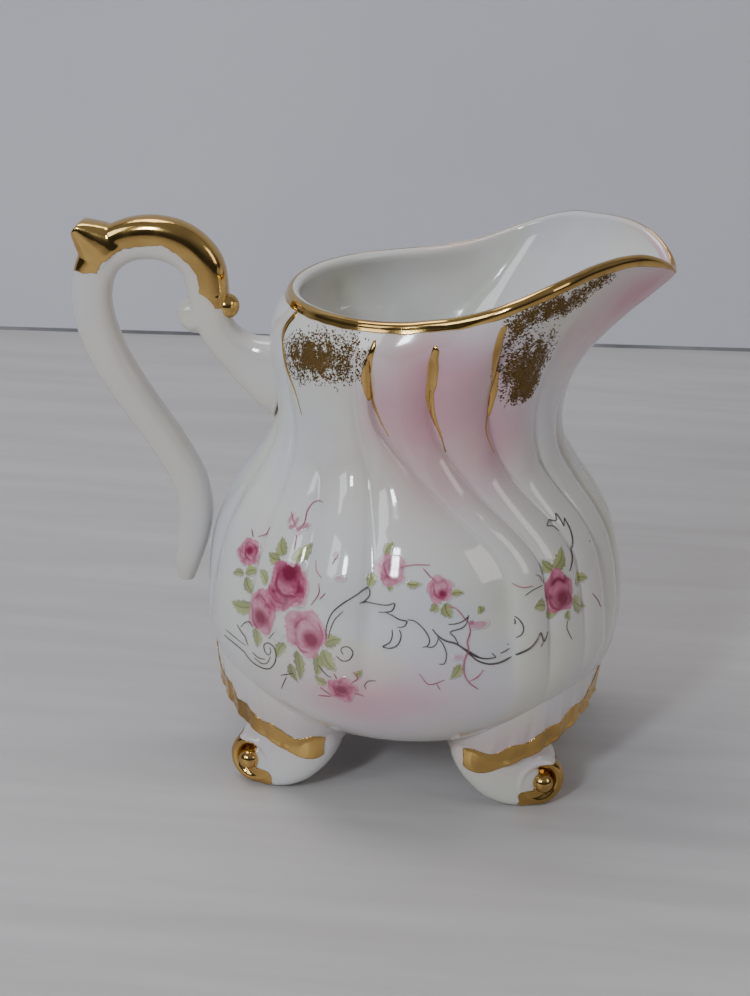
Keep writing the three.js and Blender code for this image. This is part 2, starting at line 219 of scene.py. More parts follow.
def fluteDepth(angle, z):
    # 1 in the bottom of a flute, 0 on the crown of a lobe
    lines = fluteLines(z)
    shows = np.array([f[2] for f in vesselForm["flutes"]], float)
    onNeck = smoothStep(z, 60, 72)[..., None]
    half = 1 - (1 - shows) * onNeck
    strength = np.concatenate([half, half[..., ::-1], half[..., :1]], -1)
    place = np.where(angle < lines[..., 0], angle + 360, angle)
    i = np.clip((place[..., None] > lines).sum(-1) - 1, 0, lines.shape[-1] - 2)
    rowsIndex = np.arange(len(place))
    low, high = lines[rowsIndex, i], lines[rowsIndex, i + 1]
    s = np.clip((place - low) / (high - low), 0, 1)
    size = np.minimum(1, (high - low) / 20)
    here, there = strength[rowsIndex, i], strength[rowsIndex, i + 1]
    near = here + (there - here) * smoothStep(s, 0.3, 0.7)
    return near * size * (1 - np.sin(np.pi * s) ** 0.62)


def vesselPoints(angle, z, offset=0.0, fluted=True):
    # angle in degrees from the lip, turning through the side that faces -Y
    angle = np.asarray(angle, float).ravel() % 360
    z = np.broadcast_to(np.asarray(z, float), angle.shape).ravel()
    folded = np.abs((angle + 180) % 360 - 180)
    form = vesselForm
    e = np.clip((z - form["neckHeight"]) / (form["rimHeight"] - form["neckHeight"]), 0, 1)
    lipFade = 1 - smoothStep(50 - folded, 0, 30) * smoothStep(z, 66, 80)
    depth = form["grooveDepth"] * smoothStep(z, 22, 46) * (1 - smoothStep(z, 86, 93)) * lipFade
    flare = 1 - (1 - e ** form["lipTurn"]) ** form["lipRound"]
    radius = radiusAt(z) + (mouthRadius(folded) - radiusAt(form["rimHeight"])) * flare + offset
    if fluted:
        radius = radius - depth * fluteDepth(angle, z)
    height = z + (mouthHeight(folded) - form["rimHeight"]) * e ** form["lipRise"]
    turn = np.radians(angle)
    return np.column_stack([axisX + radius * np.cos(turn), -radius * np.sin(turn), height])


def columnAngles(z):
    # columns of the mesh run along the flutes
    lines = fluteLines(np.asarray(z, float))
    step = np.arange(vesselForm["columnsPerLobe"]) / vesselForm["columnsPerLobe"]
    between = lines[:-1, None] + (lines[1:] - lines[:-1])[:, None] * step[None, :]
    return between.ravel()


def profileHeights(low, high, spacing):
    # heights spaced evenly along the wall, not evenly in height
    fine = np.linspace(low, high, 2000)
    run = np.r_[0, np.cumsum(np.hypot(np.diff(fine), np.diff(radiusAt(fine))))]
    count = max(int(run[-1] / spacing), 4)
    return np.interp(np.linspace(0, run[-1], count), run, fine)


# colours painted on the china

blushSpots = [  # degrees from the lip, height, reach across, reach up, strength: airbrushed pink
    (84, 80, 8, 12, 0.7), (97, 81, 6, 8, 0.6), (52, 75, 9, 10, 0.6), (66, 80, 12, 13, 0.5),
    (76, 91, 12, 7, 0.6),
    (5, 99, 12, 8, 1.0), (12, 90, 8, 8, 0.6), (26, 93, 6, 5, 0.4), (74, 67, 8, 5, 0.35),
    (92, 29, 15, 7, 0.55), (102, 27, 9, 5, 0.3),
    (48, 15, 16, 6, 0.35), (132, 15, 16, 6, 0.3), (118, 70, 8, 8, 0.12)]


def blushAt(points):
    # how pink the china is at each point, the same on both sides of the jug
    side = np.degrees(np.arctan2(np.abs(points[:, 1]), points[:, 0] - axisX))
    total = np.zeros(len(points))
    for angle, height, across, up, strength in blushSpots:
        away = ((side - angle) * 0.6 / across) ** 2 + ((points[:, 2] - height) / up) ** 2
        total = 1 - (1 - total) * (1 - strength * np.exp(-away))
    return total


def storeBlush(made):
    storeValue(made.data, "blush", blushAt(meshPoints(made.data)))


# materials

def nodeGroup(name, inputs, outputs):
    group = bpy.data.node_groups.new(name, "ShaderNodeTree")
    for label, kind, default in inputs:
        socket = group.interface.new_socket(label, in_out="INPUT", socket_type=kind)
        socket.default_value = default
    for label, kind in outputs:
        group.interface.new_socket(label, in_out="OUTPUT", socket_type=kind)
    first = group.nodes.new("NodeGroupInput")
    last = group.nodes.new("NodeGroupOutput")
    return group, first, last


def addNode(tree, kind, **settings):
    node = tree.nodes.new(kind)
    for key, value in settings.items():
        if key.startswith("in_"):
            node.inputs[int(key[3:])].default_value = value
        else:
            setattr(node, key, value)
    return node


def mixColours(tree, factor, first, second, blendType="MIX"):
    mix = addNode(tree, "ShaderNodeMix", data_type="RGBA", blend_type=blendType)
    for socket, source in ((mix.inputs[0], factor), (mix.inputs[6], first), (mix.inputs[7], second)):
        if isinstance(source, bpy.types.NodeSocket):
            tree.links.new(source, socket)
        else:
            socket.default_value = source
    return mix.outputs[2]


def mathStep(tree, operation, first, second=0.0, clamp=False):
    node = addNode(tree, "ShaderNodeMath", operation=operation, use_clamp=clamp)
    for socket, source in ((node.inputs[0], first), (node.inputs[1], second)):
        if isinstance(source, bpy.types.NodeSocket):
            tree.links.new(source, socket)
        else:
            socket.default_value = source
    return node.outputs[0]


def rampBetween(tree, source, low, high, lowValue=0.0, highValue=1.0):
    node = addNode(tree, "ShaderNodeMapRange", interpolation_type="SMOOTHSTEP")
    tree.links.new(source, node.inputs[0])
    for place, value in zip((1, 2, 3, 4), (low, high, lowValue, highValue)):
        node.inputs[place].default_value = value
    return node.outputs[0]


def noiseValue(tree, vector, scale, detail=3.0, rough=0.5):
    node = addNode(tree, "ShaderNodeTexNoise")
    node.inputs["Scale"].default_value = scale
    node.inputs["Detail"].default_value = detail
    node.inputs["Roughness"].default_value = rough
    tree.links.new(vector, node.inputs["Vector"])
    return node.outputs["Fac"]


def makePorcelainGroup():
    group, first, last = nodeGroup(
        "glazedPorcelain",
        [("Clay", "NodeSocketColor", (0.80, 0.80, 0.78, 1)), ("Pearl", "NodeSocketFloat", 0.5),
         ("Blush", "NodeSocketFloat", 0.0), ("Specks", "NodeSocketFloat", 1.0)],
        [("Colour", "NodeSocketColor"), ("Roughness", "NodeSocketFloat"), ("Height", "NodeSocketFloat")])
    place = addNode(group, "ShaderNodeTexCoord").outputs["Object"]
    broad = noiseValue(group, place, 28, 2)
    lustre = noiseValue(group, place, 46, 2)
    patch = noiseValue(group, place, 60, 3)
    clay = first.outputs["Clay"]
    cool = mixColours(group, rampBetween(group, broad, 0.40, 0.62), clay, (0.63, 0.65, 0.73, 1))
    warm = mixColours(group, rampBetween(group, lustre, 0.46, 0.66), cool, (0.69, 0.69, 0.56, 1))
    pearl = mixColours(group, first.outputs["Pearl"], clay, warm)
    # the blush is thin at its edge and mottled where the spray was heavy
    spray = rampBetween(group, patch, 0.2, 0.75, 0.75, 1.1)
    mottled = mathStep(group, "MULTIPLY", first.outputs["Blush"], spray)
    thin = mixColours(group, mathStep(group, "MULTIPLY", mottled, 0.95, True), pearl, (0.60, 0.21, 0.30, 1))
    speckField = addNode(group, "ShaderNodeTexVoronoi", feature="F1")
    speckField.inputs["Scale"].default_value = 120
    group.links.new(place, speckField.inputs["Vector"])
    tiny = rampBetween(group, speckField.outputs["Distance"], 0.018, 0.032, 1.0, 0.0)
    picked = rampBetween(group, noiseValue(group, place, 75, 1), 0.60, 0.64)
    speck = mathStep(group, "MULTIPLY", mathStep(group, "MULTIPLY", tiny, picked), first.outputs["Specks"])
    group.links.new(mixColours(group, speck, thin, (0.10, 0.07, 0.05, 1)), last.inputs["Colour"])
    rough = rampBetween(group, noiseValue(group, place, 90, 4), 0.3, 0.8, 0.07, 0.13)
    group.links.new(rough, last.inputs["Roughness"])
    group.links.new(noiseValue(group, place, 330, 2), last.inputs["Height"])
    return group


porcelainGroup = makePorcelainGroup()


def finishShader(material, settings):
    shader = material.node_tree.nodes["Principled BSDF"]
    for key, value in settings.items():
        shader.inputs[key].default_value = value
    return shader


def makeMaterial(name):
    material = bpy.data.materials.new(name)
    material.use_nodes = True
    return material


def makePorcelain(name, pearl, clay, painted=False):
    material = makeMaterial(name)
    tree = material.node_tree
    shader = finishShader(material, {
        "IOR": 1.5, "Coat Weight": 0.6, "Coat Roughness": 0.03, "Specular IOR Level": 0.5})
    glaze = addNode(tree, "ShaderNodeGroup", node_tree=porcelainGroup)
    glaze.inputs["Pearl"].default_value = pearl
    glaze.inputs["Clay"].default_value = clay
    blush = addNode(tree, "ShaderNodeAttribute", attribute_name="blush")
    tree.links.new(blush.outputs["Fac"], glaze.inputs["Blush"])
    colour = glaze.outputs["Colour"]
    if painted:
        paint = addNode(tree, "ShaderNodeAttribute", attribute_name="paint")
        colour = mixColours(tree, paint.outputs["Alpha"], colour, paint.outputs["Color"])
    tree.links.new(colour, shader.inputs["Base Color"])
    tree.links.new(glaze.outputs["Roughness"], shader.inputs["Roughness"])
    bump = addNode(tree, "ShaderNodeBump")
    bump.inputs["Strength"].default_value = 0.05
    bump.inputs["Distance"].default_value = 0.0002
    tree.links.new(glaze.outputs["Height"], bump.inputs["Height"])
    tree.links.new(bump.outputs["Normal"], shader.inputs["Normal"])
    return material


def makeGoldGroup():
    group, first, last = nodeGroup(
        "firedGold",
        [("Bright", "NodeSocketColor", (0.86, 0.58, 0.20, 1)),
         ("WornAndDarkReflection", "NodeSocketColor", (0.22, 0.125, 0.04, 1)), ("WearAndDarkReflection", "NodeSocketFloat", 0.4)],
        [("Colour", "NodeSocketColor"), ("Roughness", "NodeSocketFloat"), ("Height", "NodeSocketFloat")])
    place = addNode(group, "ShaderNodeTexCoord").outputs["Object"]
    brushed = noiseValue(group, place, 260, 4, 0.6)
    cloud = noiseValue(group, place, 70, 3)
    # dark cloudy patches: partly worn gilding, partly painted dark reflection of the room
    wearAndDarkReflection = mathStep(group, "MULTIPLY", rampBetween(group, cloud, 0.45, 0.75), first.outputs["WearAndDarkReflection"])
    colour = mixColours(group, wearAndDarkReflection, first.outputs["Bright"], first.outputs["WornAndDarkReflection"])
    group.links.new(colour, last.inputs["Colour"])
    group.links.new(rampBetween(group, brushed, 0.25, 0.8, 0.06, 0.17), last.inputs["Roughness"])
    group.links.new(brushed, last.inputs["Height"])
    return group


goldGroup = makeGoldGroup()


def makeGold(name, bright, wearAndDarkReflection):
    material = makeMaterial(name)
    tree = material.node_tree
    shader = finishShader(material, {"Metallic": 1.0})
    gold = addNode(tree, "ShaderNodeGroup", node_tree=goldGroup)
    gold.inputs["Bright"].default_value = bright
    gold.inputs["WearAndDarkReflection"].default_value = wearAndDarkReflection
    tree.links.new(gold.outputs["Colour"], shader.inputs["Base Color"])
    tree.links.new(gold.outputs["Roughness"], shader.inputs["Roughness"])
    bump = addNode(tree, "ShaderNodeBump")
    bump.inputs["Strength"].default_value = 0.10
    bump.inputs["Distance"].default_value = 0.0002
    tree.links.new(gold.outputs["Height"], bump.inputs["Height"])
    tree.links.new(bump.outputs["Normal"], shader.inputs["Normal"])
    return material


def makeInk():
    material = makeMaterial("transferInk")
    tree = material.node_tree
    shader = finishShader(material, {"Coat Weight": 0.4, "Coat Roughness": 0.05})
    place = addNode(tree, "ShaderNodeTexCoord").outputs["Object"]
    tone = rampBetween(tree, noiseValue(tree, place, 200, 3), 0.3, 0.7)
    colour = mixColours(tree, tone, (0.045, 0.035, 0.035, 1), (0.15, 0.12, 0.11, 1))
    tree.links.new(colour, shader.inputs["Base Color"])
    tree.links.new(rampBetween(tree, tone, 0, 1, 0.16, 0.26), shader.inputs["Roughness"])
    return material


def makeStemPink():
    material = makeMaterial("stemPink")
    tree = material.node_tree
    shader = finishShader(material, {"Coat Weight": 0.4, "Coat Roughness": 0.05})
    place = addNode(tree, "ShaderNodeTexCoord").outputs["Object"]
    tone = rampBetween(tree, noiseValue(tree, place, 240, 3), 0.3, 0.7)
    colour = mixColours(tree, tone, (0.36, 0.07, 0.13, 1), (0.56, 0.22, 0.29, 1))
    tree.links.new(colour, shader.inputs["Base Color"])
    tree.links.new(rampBetween(tree, tone, 0, 1, 0.14, 0.24), shader.inputs["Roughness"])
    return material


whiteClay = (0.70, 0.685, 0.65, 1)
bodyPorcelain = makePorcelain("lustredPorcelain", 0.55, whiteClay)
paintedPorcelain = makePorcelain("paintedPorcelain", 0.55, whiteClay, painted=True)
# the handle's porcelain is a darker, warmer copy of the body's: painted shade on the handle
shadedHandlePorcelain = makePorcelain("shadedHandlePorcelain", 0.3, (0.68, 0.63, 0.57, 1))
# the gold's dark patches are partly wear and partly painted dark reflection
brightGold = makeGold("burnishedGold", (0.64, 0.41, 0.135, 1), 0.6)
fleckGold = makeGold("spongedGold", (0.19, 0.12, 0.042, 1), 0.8)
scrollInk = makeInk()
stemPink = makeStemPink()
print("materials ready")


# vessel

def makeVessel():
    form = vesselForm
    top = form["rimHeight"]
    rings = []

    def addRing(z, offset, rise=0.0, fluted=True):
        ring = vesselPoints(columnAngles(z), z, offset, fluted)
        ring[:, 2] += rise
        rings.append(ring)

    outer = profileHeights(form["undersideHeight"], top, form["rowSpacing"])
    for radiusShare in (0.35, 0.7, 0.9):
        addRing(outer[0], (radiusShare - 1) * radiusAt(outer[0]), 0.9 * (1 - radiusShare))
    for z in outer:
        addRing(z, 0)
    half = form["wall"] / 2
    for turn in np.radians(np.linspace(0, 180, 9))[1:-1]:
        addRing(top, half * (math.cos(turn) - 1), 0.9 * half * math.sin(turn))
    outerRings = len(rings)
    innerFloor = form["undersideHeight"] + form["floorThick"]
    for z in profileHeights(innerFloor + 0.8, top, 1.3)[::-1]:
        wall = form["wall"] + 0.6 * smoothStep(top - z, 4, 20)
        addRing(z, -float(wall), 0, False)
    for inset in (7, 12, 18, 22):
        addRing(innerFloor + 0.7, -inset, -0.5 * smoothStep(inset, 3, 12), False)
    columns = len(rings[0])
    points = np.concatenate(rings)
    faces = gridFaces(len(rings), columns, True)
    underside = len(points)
    wellFloor = underside + 1
    ends = np.array([[axisX, 0, rings[0][0, 2] + 0.2], [axisX, 0, rings[-1][0, 2]]])
    last = (len(rings) - 1) * columns
    faces += [[(i + 1) % columns, i, underside] for i in range(columns)]
    faces += [[last + i, last + (i + 1) % columns, wellFloor] for i in range(columns)]
    made = makeObject("vessel", np.concatenate([points, ends]), faces, bodyPorcelain)
    outward(made)
    blush = blushAt(meshPoints(made.data))
    blush[outerRings * columns:] = 0  # the inside is left plain
    storeValue(made.data, "blush", blush)
    return placePiece(made, "porcelain", "jug_body")


vessel = makeVessel()
print("vessel", len(vessel.data.polygons))


# gold round the mouth

rimGold = {"drop": 0.62, "lift": 0.07, "waver": 0.10, "inside": 1.15, "columns": 720}


def makeRimGold():
    angle = np.linspace(0, 360, rimGold["columns"], endpoint=False)
    top = vesselForm["rimHeight"]
    half = vesselForm["wall"] / 2
    around = np.column_stack([np.cos(np.radians(angle)), np.sin(np.radians(angle))]) * 30
    fromLip = np.abs((angle + 180) % 360 - 180)
    waver = rimGold["waver"] * softNoise(around, 7, 4) - 0.45 * (1 - smoothStep(fromLip, 3, 16))
    rings = []
    for share in np.linspace(0, 1, 5):  # up the outside of the wall
        z = top - (rimGold["drop"] + waver) * (1 - share)
        rings.append(vesselPoints(angle, z, rimGold["lift"]))
    stop = 180 * rimGold["inside"] / vesselForm["wall"]
    for turn in np.radians(np.linspace(0, stop, 7))[1:]:  # over the lip
        grow = half + rimGold["lift"]
        ring = vesselPoints(angle, top, grow * math.cos(turn) - half)
        ring[:, 2] += 0.9 * grow * math.sin(turn)
        rings.append(ring)
    points = np.concatenate(rings)
    made = makeObject("rimGold", points, gridFaces(len(rings), len(angle), True), brightGold)
    outer = made.modifiers.new("film", "SOLIDIFY")
    outer.thickness = 0.12 * mm
    outer.offset = -1
    applyModifiers(outward(made))
    return placePiece(made, "gilding", "rim_gilding")


makeRimGold()
print("rim gold ready")


# solid joined pieces

def loft(path, rings):
    # closed tube through rings of points
    count = len(rings[0])
    points = np.concatenate(rings + [[path[0]], [path[-1]]])
    faces = gridFaces(len(rings), count, True)
    last = (len(rings) - 1) * count
    first, final = len(points) - 2, len(points) - 1
    faces += [[(i + 1) % count, i, first] for i in range(count)]
    faces += [[last + i, last + (i + 1) % count, final] for i in range(count)]
    return points, faces


def squaredOval(count, power):
    a = np.arange(count) / count * 2 * np.pi
    return (np.sign(np.cos(a)) * np.abs(np.cos(a)) ** power, np.sign(np.sin(a)) * np.abs(np.sin(a)) ** power)


def joinSolids(name, solids, voxel, rounds, material):
    # melts closed solids into one skin, then softens it as glaze does
    points, faces = [], []
    start = 0
    for solidPoints, solidFaces in solids:
        points.append(np.asarray(solidPoints, float))
        faces += [[i + start for i in face] for face in solidFaces]
        start += len(solidPoints)
    mesh = bpy.data.meshes.new(name)
    mesh.from_pydata(np.concatenate(points).tolist(), [], faces)
    made = bpy.data.objects.new(name, mesh)
    bpy.context.scene.collection.objects.link(made)
    edit = bmesh.new()
    edit.from_mesh(mesh)
    bmesh.ops.recalc_face_normals(edit, faces=edit.faces)
    edit.to_mesh(mesh)
    edit.free()
    melt = made.modifiers.new("melt", "REMESH")
    melt.mode = "VOXEL"
    melt.voxel_size = voxel
    soften = made.modifiers.new("soften", "SMOOTH")
    soften.factor = 0.5
    soften.iterations = rounds
    applyModifiers(made)
    flat = np.empty(len(made.data.vertices) * 3, np.float32)
    made.data.vertices.foreach_get("co", flat)
    movePoints(made.data, flat.reshape(-1, 3).astype(float))
    made.data.materials.append(material)
    return made


def ballSolid(centre, sizes, rows=16, columns=24):
    lift = np.linspace(-np.pi / 2, np.pi / 2, rows)[1:-1]
    turn = np.arange(columns) / columns * 2 * np.pi
    rings = [np.column_stack([
        centre[0] + sizes[0] * math.cos(a) * np.cos(turn), centre[1] + sizes[1] * math.cos(a) * np.sin(turn),
        np.full(columns, centre[2] + sizes[2] * math.sin(a))]) for a in lift]
    ends = [np.array(centre) - [0, 0, sizes[2]], np.array(centre) + [0, 0, sizes[2]]]
    return loft(ends, rings)


def goldSkin(name, source, field, lift, thick, material):
    # a film of gold laid where field is above zero, cut cleanly along its edge
    made = bpy.data.objects.new(name, source.data.copy())
    bpy.context.scene.collection.objects.link(made)
    mesh = made.data
    values = field(meshPoints(mesh), meshNormals(mesh))
    edit = bmesh.new()
    edit.from_mesh(mesh)
    edit.verts.ensure_lookup_table()
    level = {vert: float(values[vert.index]) for vert in edit.verts}
    bare = [face for face in edit.faces if all(level[v] <= -0.6 for v in face.verts)]
    bmesh.ops.delete(edit, geom=bare, context="FACES")
    level = {vert: value for vert, value in level.items() if vert.is_valid}
    crossing = []
    for edge in list(edit.edges):
        a, b = edge.verts
        if level[a] * level[b] < 0:
            share = level[a] / (level[a] - level[b])
            crossing.append((edge, a, min(max(share, 0.02), 0.98)))
    cuts = []
    for edge, start, share in crossing:
        _, fresh = bmesh.utils.edge_split(edge, start, share)
        level[fresh] = 0.0
        cuts.append(fresh)
    bmesh.ops.connect_verts(edit, verts=cuts)
    away = [face for face in edit.faces if sum(level[v] for v in face.verts) <= 0]
    bmesh.ops.delete(edit, geom=away, context="FACES")
    loose = [v for v in edit.verts if not v.link_faces]
    bmesh.ops.delete(edit, geom=loose, context="VERTS")
    for vert in edit.verts:
        vert.co += vert.normal * lift * mm
    edit.to_mesh(mesh)
    edit.free()
    mesh.materials.clear()
    mesh.materials.append(material)
    film = made.modifiers.new("film", "SOLIDIFY")
    film.thickness = thick * mm
    film.offset = 1
    return applyModifiers(made)


# handle

handleForm = {
    "path": [  # x from the vessel axis, height, half depth
        (-47.0, 32.6, 1.7), (-46.4, 36.6, 2.6), (-45.3, 42.2, 3.2), (-44.8, 48.4, 3.5),
        (-46.3, 55.0, 3.5),
        (-50.4, 62.2, 3.5), (-56.0, 70.1, 3.6), (-61.3, 78.4, 3.8), (-64.3, 86.3, 3.9),
        (-64.8, 92.8, 3.9),
        (-62.9, 98.6, 4.1), (-58.5, 102.2, 4.1), (-52.8, 103.5, 4.2), (-47.2, 102.4, 4.3),
        (-43.1, 98.8, 4.2),
        (-41.9, 94.0, 4.0), (-41.4, 89.4, 3.6), (-39.2, 84.8, 3.5), (-35.2, 81.2, 4.5),
        (-30.0, 78.6, 7.0),
        (-26.0, 77.4, 9.0)],
    "halfWidth": 3.3,
    "curlCentre": (-44.7, 88.8), "curlReach": 1.7, "curlTube": 2.1, "curlTurns": 1.1,
    "knob": (-38.1, 90.7), "knobSize": 2.5,
    "voxel": 0.3,
}


def tubeAlong(path, acrossSize, depthSize, sides=28, power=0.72, ridge=0.0):
    # path rows are (x, z) in the plane of the handle
    path = np.asarray(path, float)
    heading = np.gradient(path, axis=0)
    heading /= np.linalg.norm(heading, axis=1)[:, None]
    out = np.column_stack([-heading[:, 1], heading[:, 0]])
    u, v = squaredOval(sides, power)
    rings = []
    for i, (x, z) in enumerate(path):
        crest = 1 + ridge * np.exp(-(u / 0.35) ** 2)
        depth = v * depthSize[i] * crest
        rings.append(np.column_stack([
            axisX + x + out[i, 0] * depth, u * acrossSize[i], z + out[i, 1] * depth]))
    centre = np.column_stack([axisX + path[:, 0], np.zeros(len(path)), path[:, 1]])
    return loft(centre, rings)


def makeHandle():
    form = handleForm
    steps = 260
    path = smoothPath(form["path"], steps)
    share = np.linspace(0, 1, steps)
    width = np.minimum(form["halfWidth"] + 1.5 * smoothStep(share, 0.9, 1), path[:, 2] * 1.25)
    parts = [tubeAlong(path[:, :2], width, path[:, 2])]
    # inner scroll: a tube that winds in on itself
    turn = np.linspace(0, form["curlTurns"] * 2 * np.pi, 70)
    reach = form["curlReach"] * (1 - 0.62 * turn / turn[-1])
    cx, cz = form["curlCentre"]
    spiral = np.column_stack([cx + reach * np.cos(turn + 0.2), cz - reach * np.sin(turn + 0.2)])
    tube = form["curlTube"] * (1 - 0.25 * turn / turn[-1])
    parts.append(tubeAlong(spiral, tube * 1.45, tube, power=0.95))
    parts.append(ballSolid((axisX + cx + 0.6, 0, cz), (3.9, 3.0, 3.9)))
    # the back corner is drawn out square, with a slight dip behind it
    cornerPath = np.linspace((-60.6, 99.4), (-67.3, 105.0), 12)
    run = np.linspace(1, 0, 12)
    parts.append(tubeAlong(cornerPath, 3.1 + 0.5 * run, 1.5 + 5.2 * run ** 0.85, power=0.75))
    parts.append(ballSolid((axisX - 61.2, 0, 100.6), (3.8, 3.2, 3.8)))
    # shell at the foot of the upper arm
    fan = smoothPath([(-35.0, 82.6), (-31.6, 77.5), (-29.2, 72.0), (-27.6, 67.7)], 24)
    parts.append(tubeAlong(fan, np.linspace(2.6, 2.2, 24), np.linspace(3.4, 1.2, 24), power=0.9))
    made = joinSolids("glazedHandle", parts, form["voxel"], 4, shadedHandlePorcelain)
    storeBlush(made)
    return placePiece(made, "porcelain", "handle")


handle = makeHandle()
print("handle", len(handle.data.polygons))


def handleGoldField(points, normals):
    # how far inside the gold edge each point lies, in millimetres
    path = smoothPath(handleForm["path"], 400)
    x, z = points[:, 0] - axisX, points[:, 2]
    near = np.empty(len(points), int)
    for start in range(0, len(points), 4000):
        part = slice(start, start + 4000)
        far = (x[part, None] - path[None, :, 0]) ** 2 + (z[part, None] - path[None, :, 1]) ** 2
        near[part] = far.argmin(1)
    heading = np.gradient(path[:, :2], axis=0)
    heading /= np.linalg.norm(heading, axis=1)[:, None]
    out = np.column_stack([-heading[near, 1], heading[near, 0]])
    depth = (x - path[near, 0]) * out[:, 0] + (z - path[near, 1]) * out[:, 1]
    waver = 0.30 * softNoise(points, 5, 8) + 0.14 * softNoise(points, 1.5, 9)
    edge = depth * np.sign(out[:, 1] * (z - 90) + out[:, 0] * (x + 54)) + 0.9 + waver
    share = near / 400
    endFade = (0.80 - share) * 130 + waver
    foot = z - 96.6 + waver  # level where the gold stops on the back of the arm
    inCorner = np.minimum(-60.5 - x, z - 97.4) + waver * 1.5
    edge = np.where(share < 0.52, np.maximum(edge, inCorner), edge)
    field = np.minimum(np.minimum(edge, endFade), np.where(share < 0.6, foot, 1))
    curl = np.hypot(x - handleForm["curlCentre"][0], z - handleForm["curlCentre"][1]) - 5.3
    field = np.minimum(field, curl)
    return np.clip(field, -1, 1)


handleGold = goldSkin("handleGold", handle, handleGoldField, 0.03, 0.10, brightGold)


def makeGoldKnob():
    # small bead where the gold ends, fused on the outside of the arm
    cx, cz = handleForm["knob"]
    size = handleForm["knobSize"]
    parts = [ballSolid((axisX + cx, 0, cz), (size, size, size)),
             ballSolid((axisX + cx - 1.6, 0, cz + 2.2), (1.8, 3.3, 2.4))]
    return joinSolids("goldKnob", parts, 0.2, 3, brightGold)


def joinObjects(keep, other):
    edit = bmesh.new()
    edit.from_mesh(keep.data)
    edit.from_mesh(other.data)
    edit.to_mesh(keep.data)
    edit.free()
    keep.data.shade_smooth()
    bpy.data.objects.remove(other)


joinObjects(handleGold, makeGoldKnob())
placePiece(handleGold, "gilding", "handle_gilding")
print("handle gold", len(handleGold.data.polygons))


# feet

footForm = {
    "skirt": [  # degrees from the lip, hem radius, hem height, top height
        (6, 37.6, 22.8, 24.0), (14, 39.0, 20.3, 26.0), (24, 39.4, 17.9, 27.0), (32, 39.2, 16.2, 26.8),
        (40, 38.6, 14.2, 26.0), (47, 37.4, 12.6, 24.8), (53, 35.6, 11.1, 22.8),
        (58.5, 33.0, 10.0, 20.5),
        (63, 30.4, 10.4, 17.8), (67, 27.4, 13.0, 15.4)],
    "leg": [  # height, inner and outer end along the face, half thickness
        (0, -4.6, 2.0, 2.1), (0.35, -6.3, 3.0, 2.8), (1.2, -8.6, 3.7, 3.3), (3, -11.4, 4.4, 3.7),
        (6, -14.2, 4.9, 4.4), (9, -16.0, 4.6, 5.1), (11.5, -16.6, 3.6, 5.7), (14.5, -15.8, 2.0, 5.9)],
    "scroll": (27.3, 22.1, 5.35), "scrollSize": 5.45, "scrollDeep": 3.5,
    "along": (0.93, -0.37), "facing": (0.37, 0.93),
    "eye": 2.05, "eyeForward": 3.3, "eyeSide": 0.7,
    "voxel": 0.3,
}


def footCurves():
    return [smoothCurve(footForm["skirt"], column) for column in (1, 2, 3)]


def footWays(signX, signY):
    along = np.array([signX * footForm["along"][0], signY * footForm["along"][1], 0])
    facing = np.array([signX * footForm["facing"][0], signY * footForm["facing"][1], 0])
    x, y, z = footForm["scroll"]
    return along, facing, np.array([axisX + signX * x, signY * y, z])


def makeFoot(place, signX, signY):
    hemRadius, hemHeight, topHeight = footCurves()
    along, facing, middle = footWays(signX, signY)
    rings = []
    for angle in np.linspace(6, 67, 70):
        ruffle = 0.20 * math.sin(angle * 0.9) + 0.10 * math.sin(angle * 2.1)
        s = np.linspace(0, 1, 12)
        top, hemR, hemZ = float(topHeight(angle)), float(hemRadius(angle)), float(hemHeight(angle))
        start = float(radiusAt(top)) - 0.5
        r = start + (hemR + ruffle - start) * s ** 1.5
        z = top + (hemZ - top) * s
        hemR += ruffle
        r = np.r_[r, hemR + 0.15, hemR - 0.6, hemR - 5, hemR - 9, min(float(radiusAt(top)) - 9, hemR - 10)]
        z = np.r_[z, hemZ - 0.7, hemZ - 1.4, hemZ - 0.7, hemZ + 1.2, top]
        turn = math.radians(angle)
        rings.append(np.column_stack([
            axisX + signX * r * math.cos(turn), signY * r * math.sin(turn), z]))
    parts = [loft(np.array([ring.mean(0) for ring in rings]), rings)]
    u, v = squaredOval(32, 0.85)
    legRings = []
    for z, inner, outer, thick in smoothPath(footForm["leg"], 34):
        centre = middle + along * (inner + outer) / 2 + facing * min(0, 3.4 - thick)
        centre[2] = max(z, 0)
        legRings.append(centre + u[:, None] * along * (outer - inner) / 2 + v[:, None] * facing * thick)
    parts.append(loft(np.array([ring.mean(0) for ring in legRings]), legRings))
    # scroll: a rounded disc with a raised border round a dished face
    size, deep = footForm["scrollSize"], footForm["scrollDeep"]
    outline = [  # share of the radius, share of the depth, from the back round to the front
        (0.30, -1.0), (0.62, -1.0), (0.86, -0.82), (0.98, -0.45), (1.0, 0.0), (0.985, 0.45),
        (0.92, 0.82),
        (0.80, 1.02), (0.66, 1.0), (0.54, 0.78), (0.42, 0.60), (0.2, 0.55)]
    turn = np.arange(48) / 48 * 2 * np.pi
    discRings = [
        middle + facing * deep * d + (np.cos(turn) * size * r)[:, None] * along
        + (np.sin(turn) * size * r)[:, None] * np.array([0, 0, 1.0]) for r, d in smoothPath(outline, 40)]
    parts.append(loft(np.array([ring.mean(0) for ring in discRings]), discRings))
    made = joinSolids("glazedFoot_" + place, parts, footForm["voxel"], 3, bodyPorcelain)
    points = meshPoints(made.data)
    points[:, 2] = np.where(points[:, 2] < 0.25, 0, points[:, 2])
    movePoints(made.data, points)
    storeBlush(made)
    return placePiece(made, "porcelain", "foot_" + place)


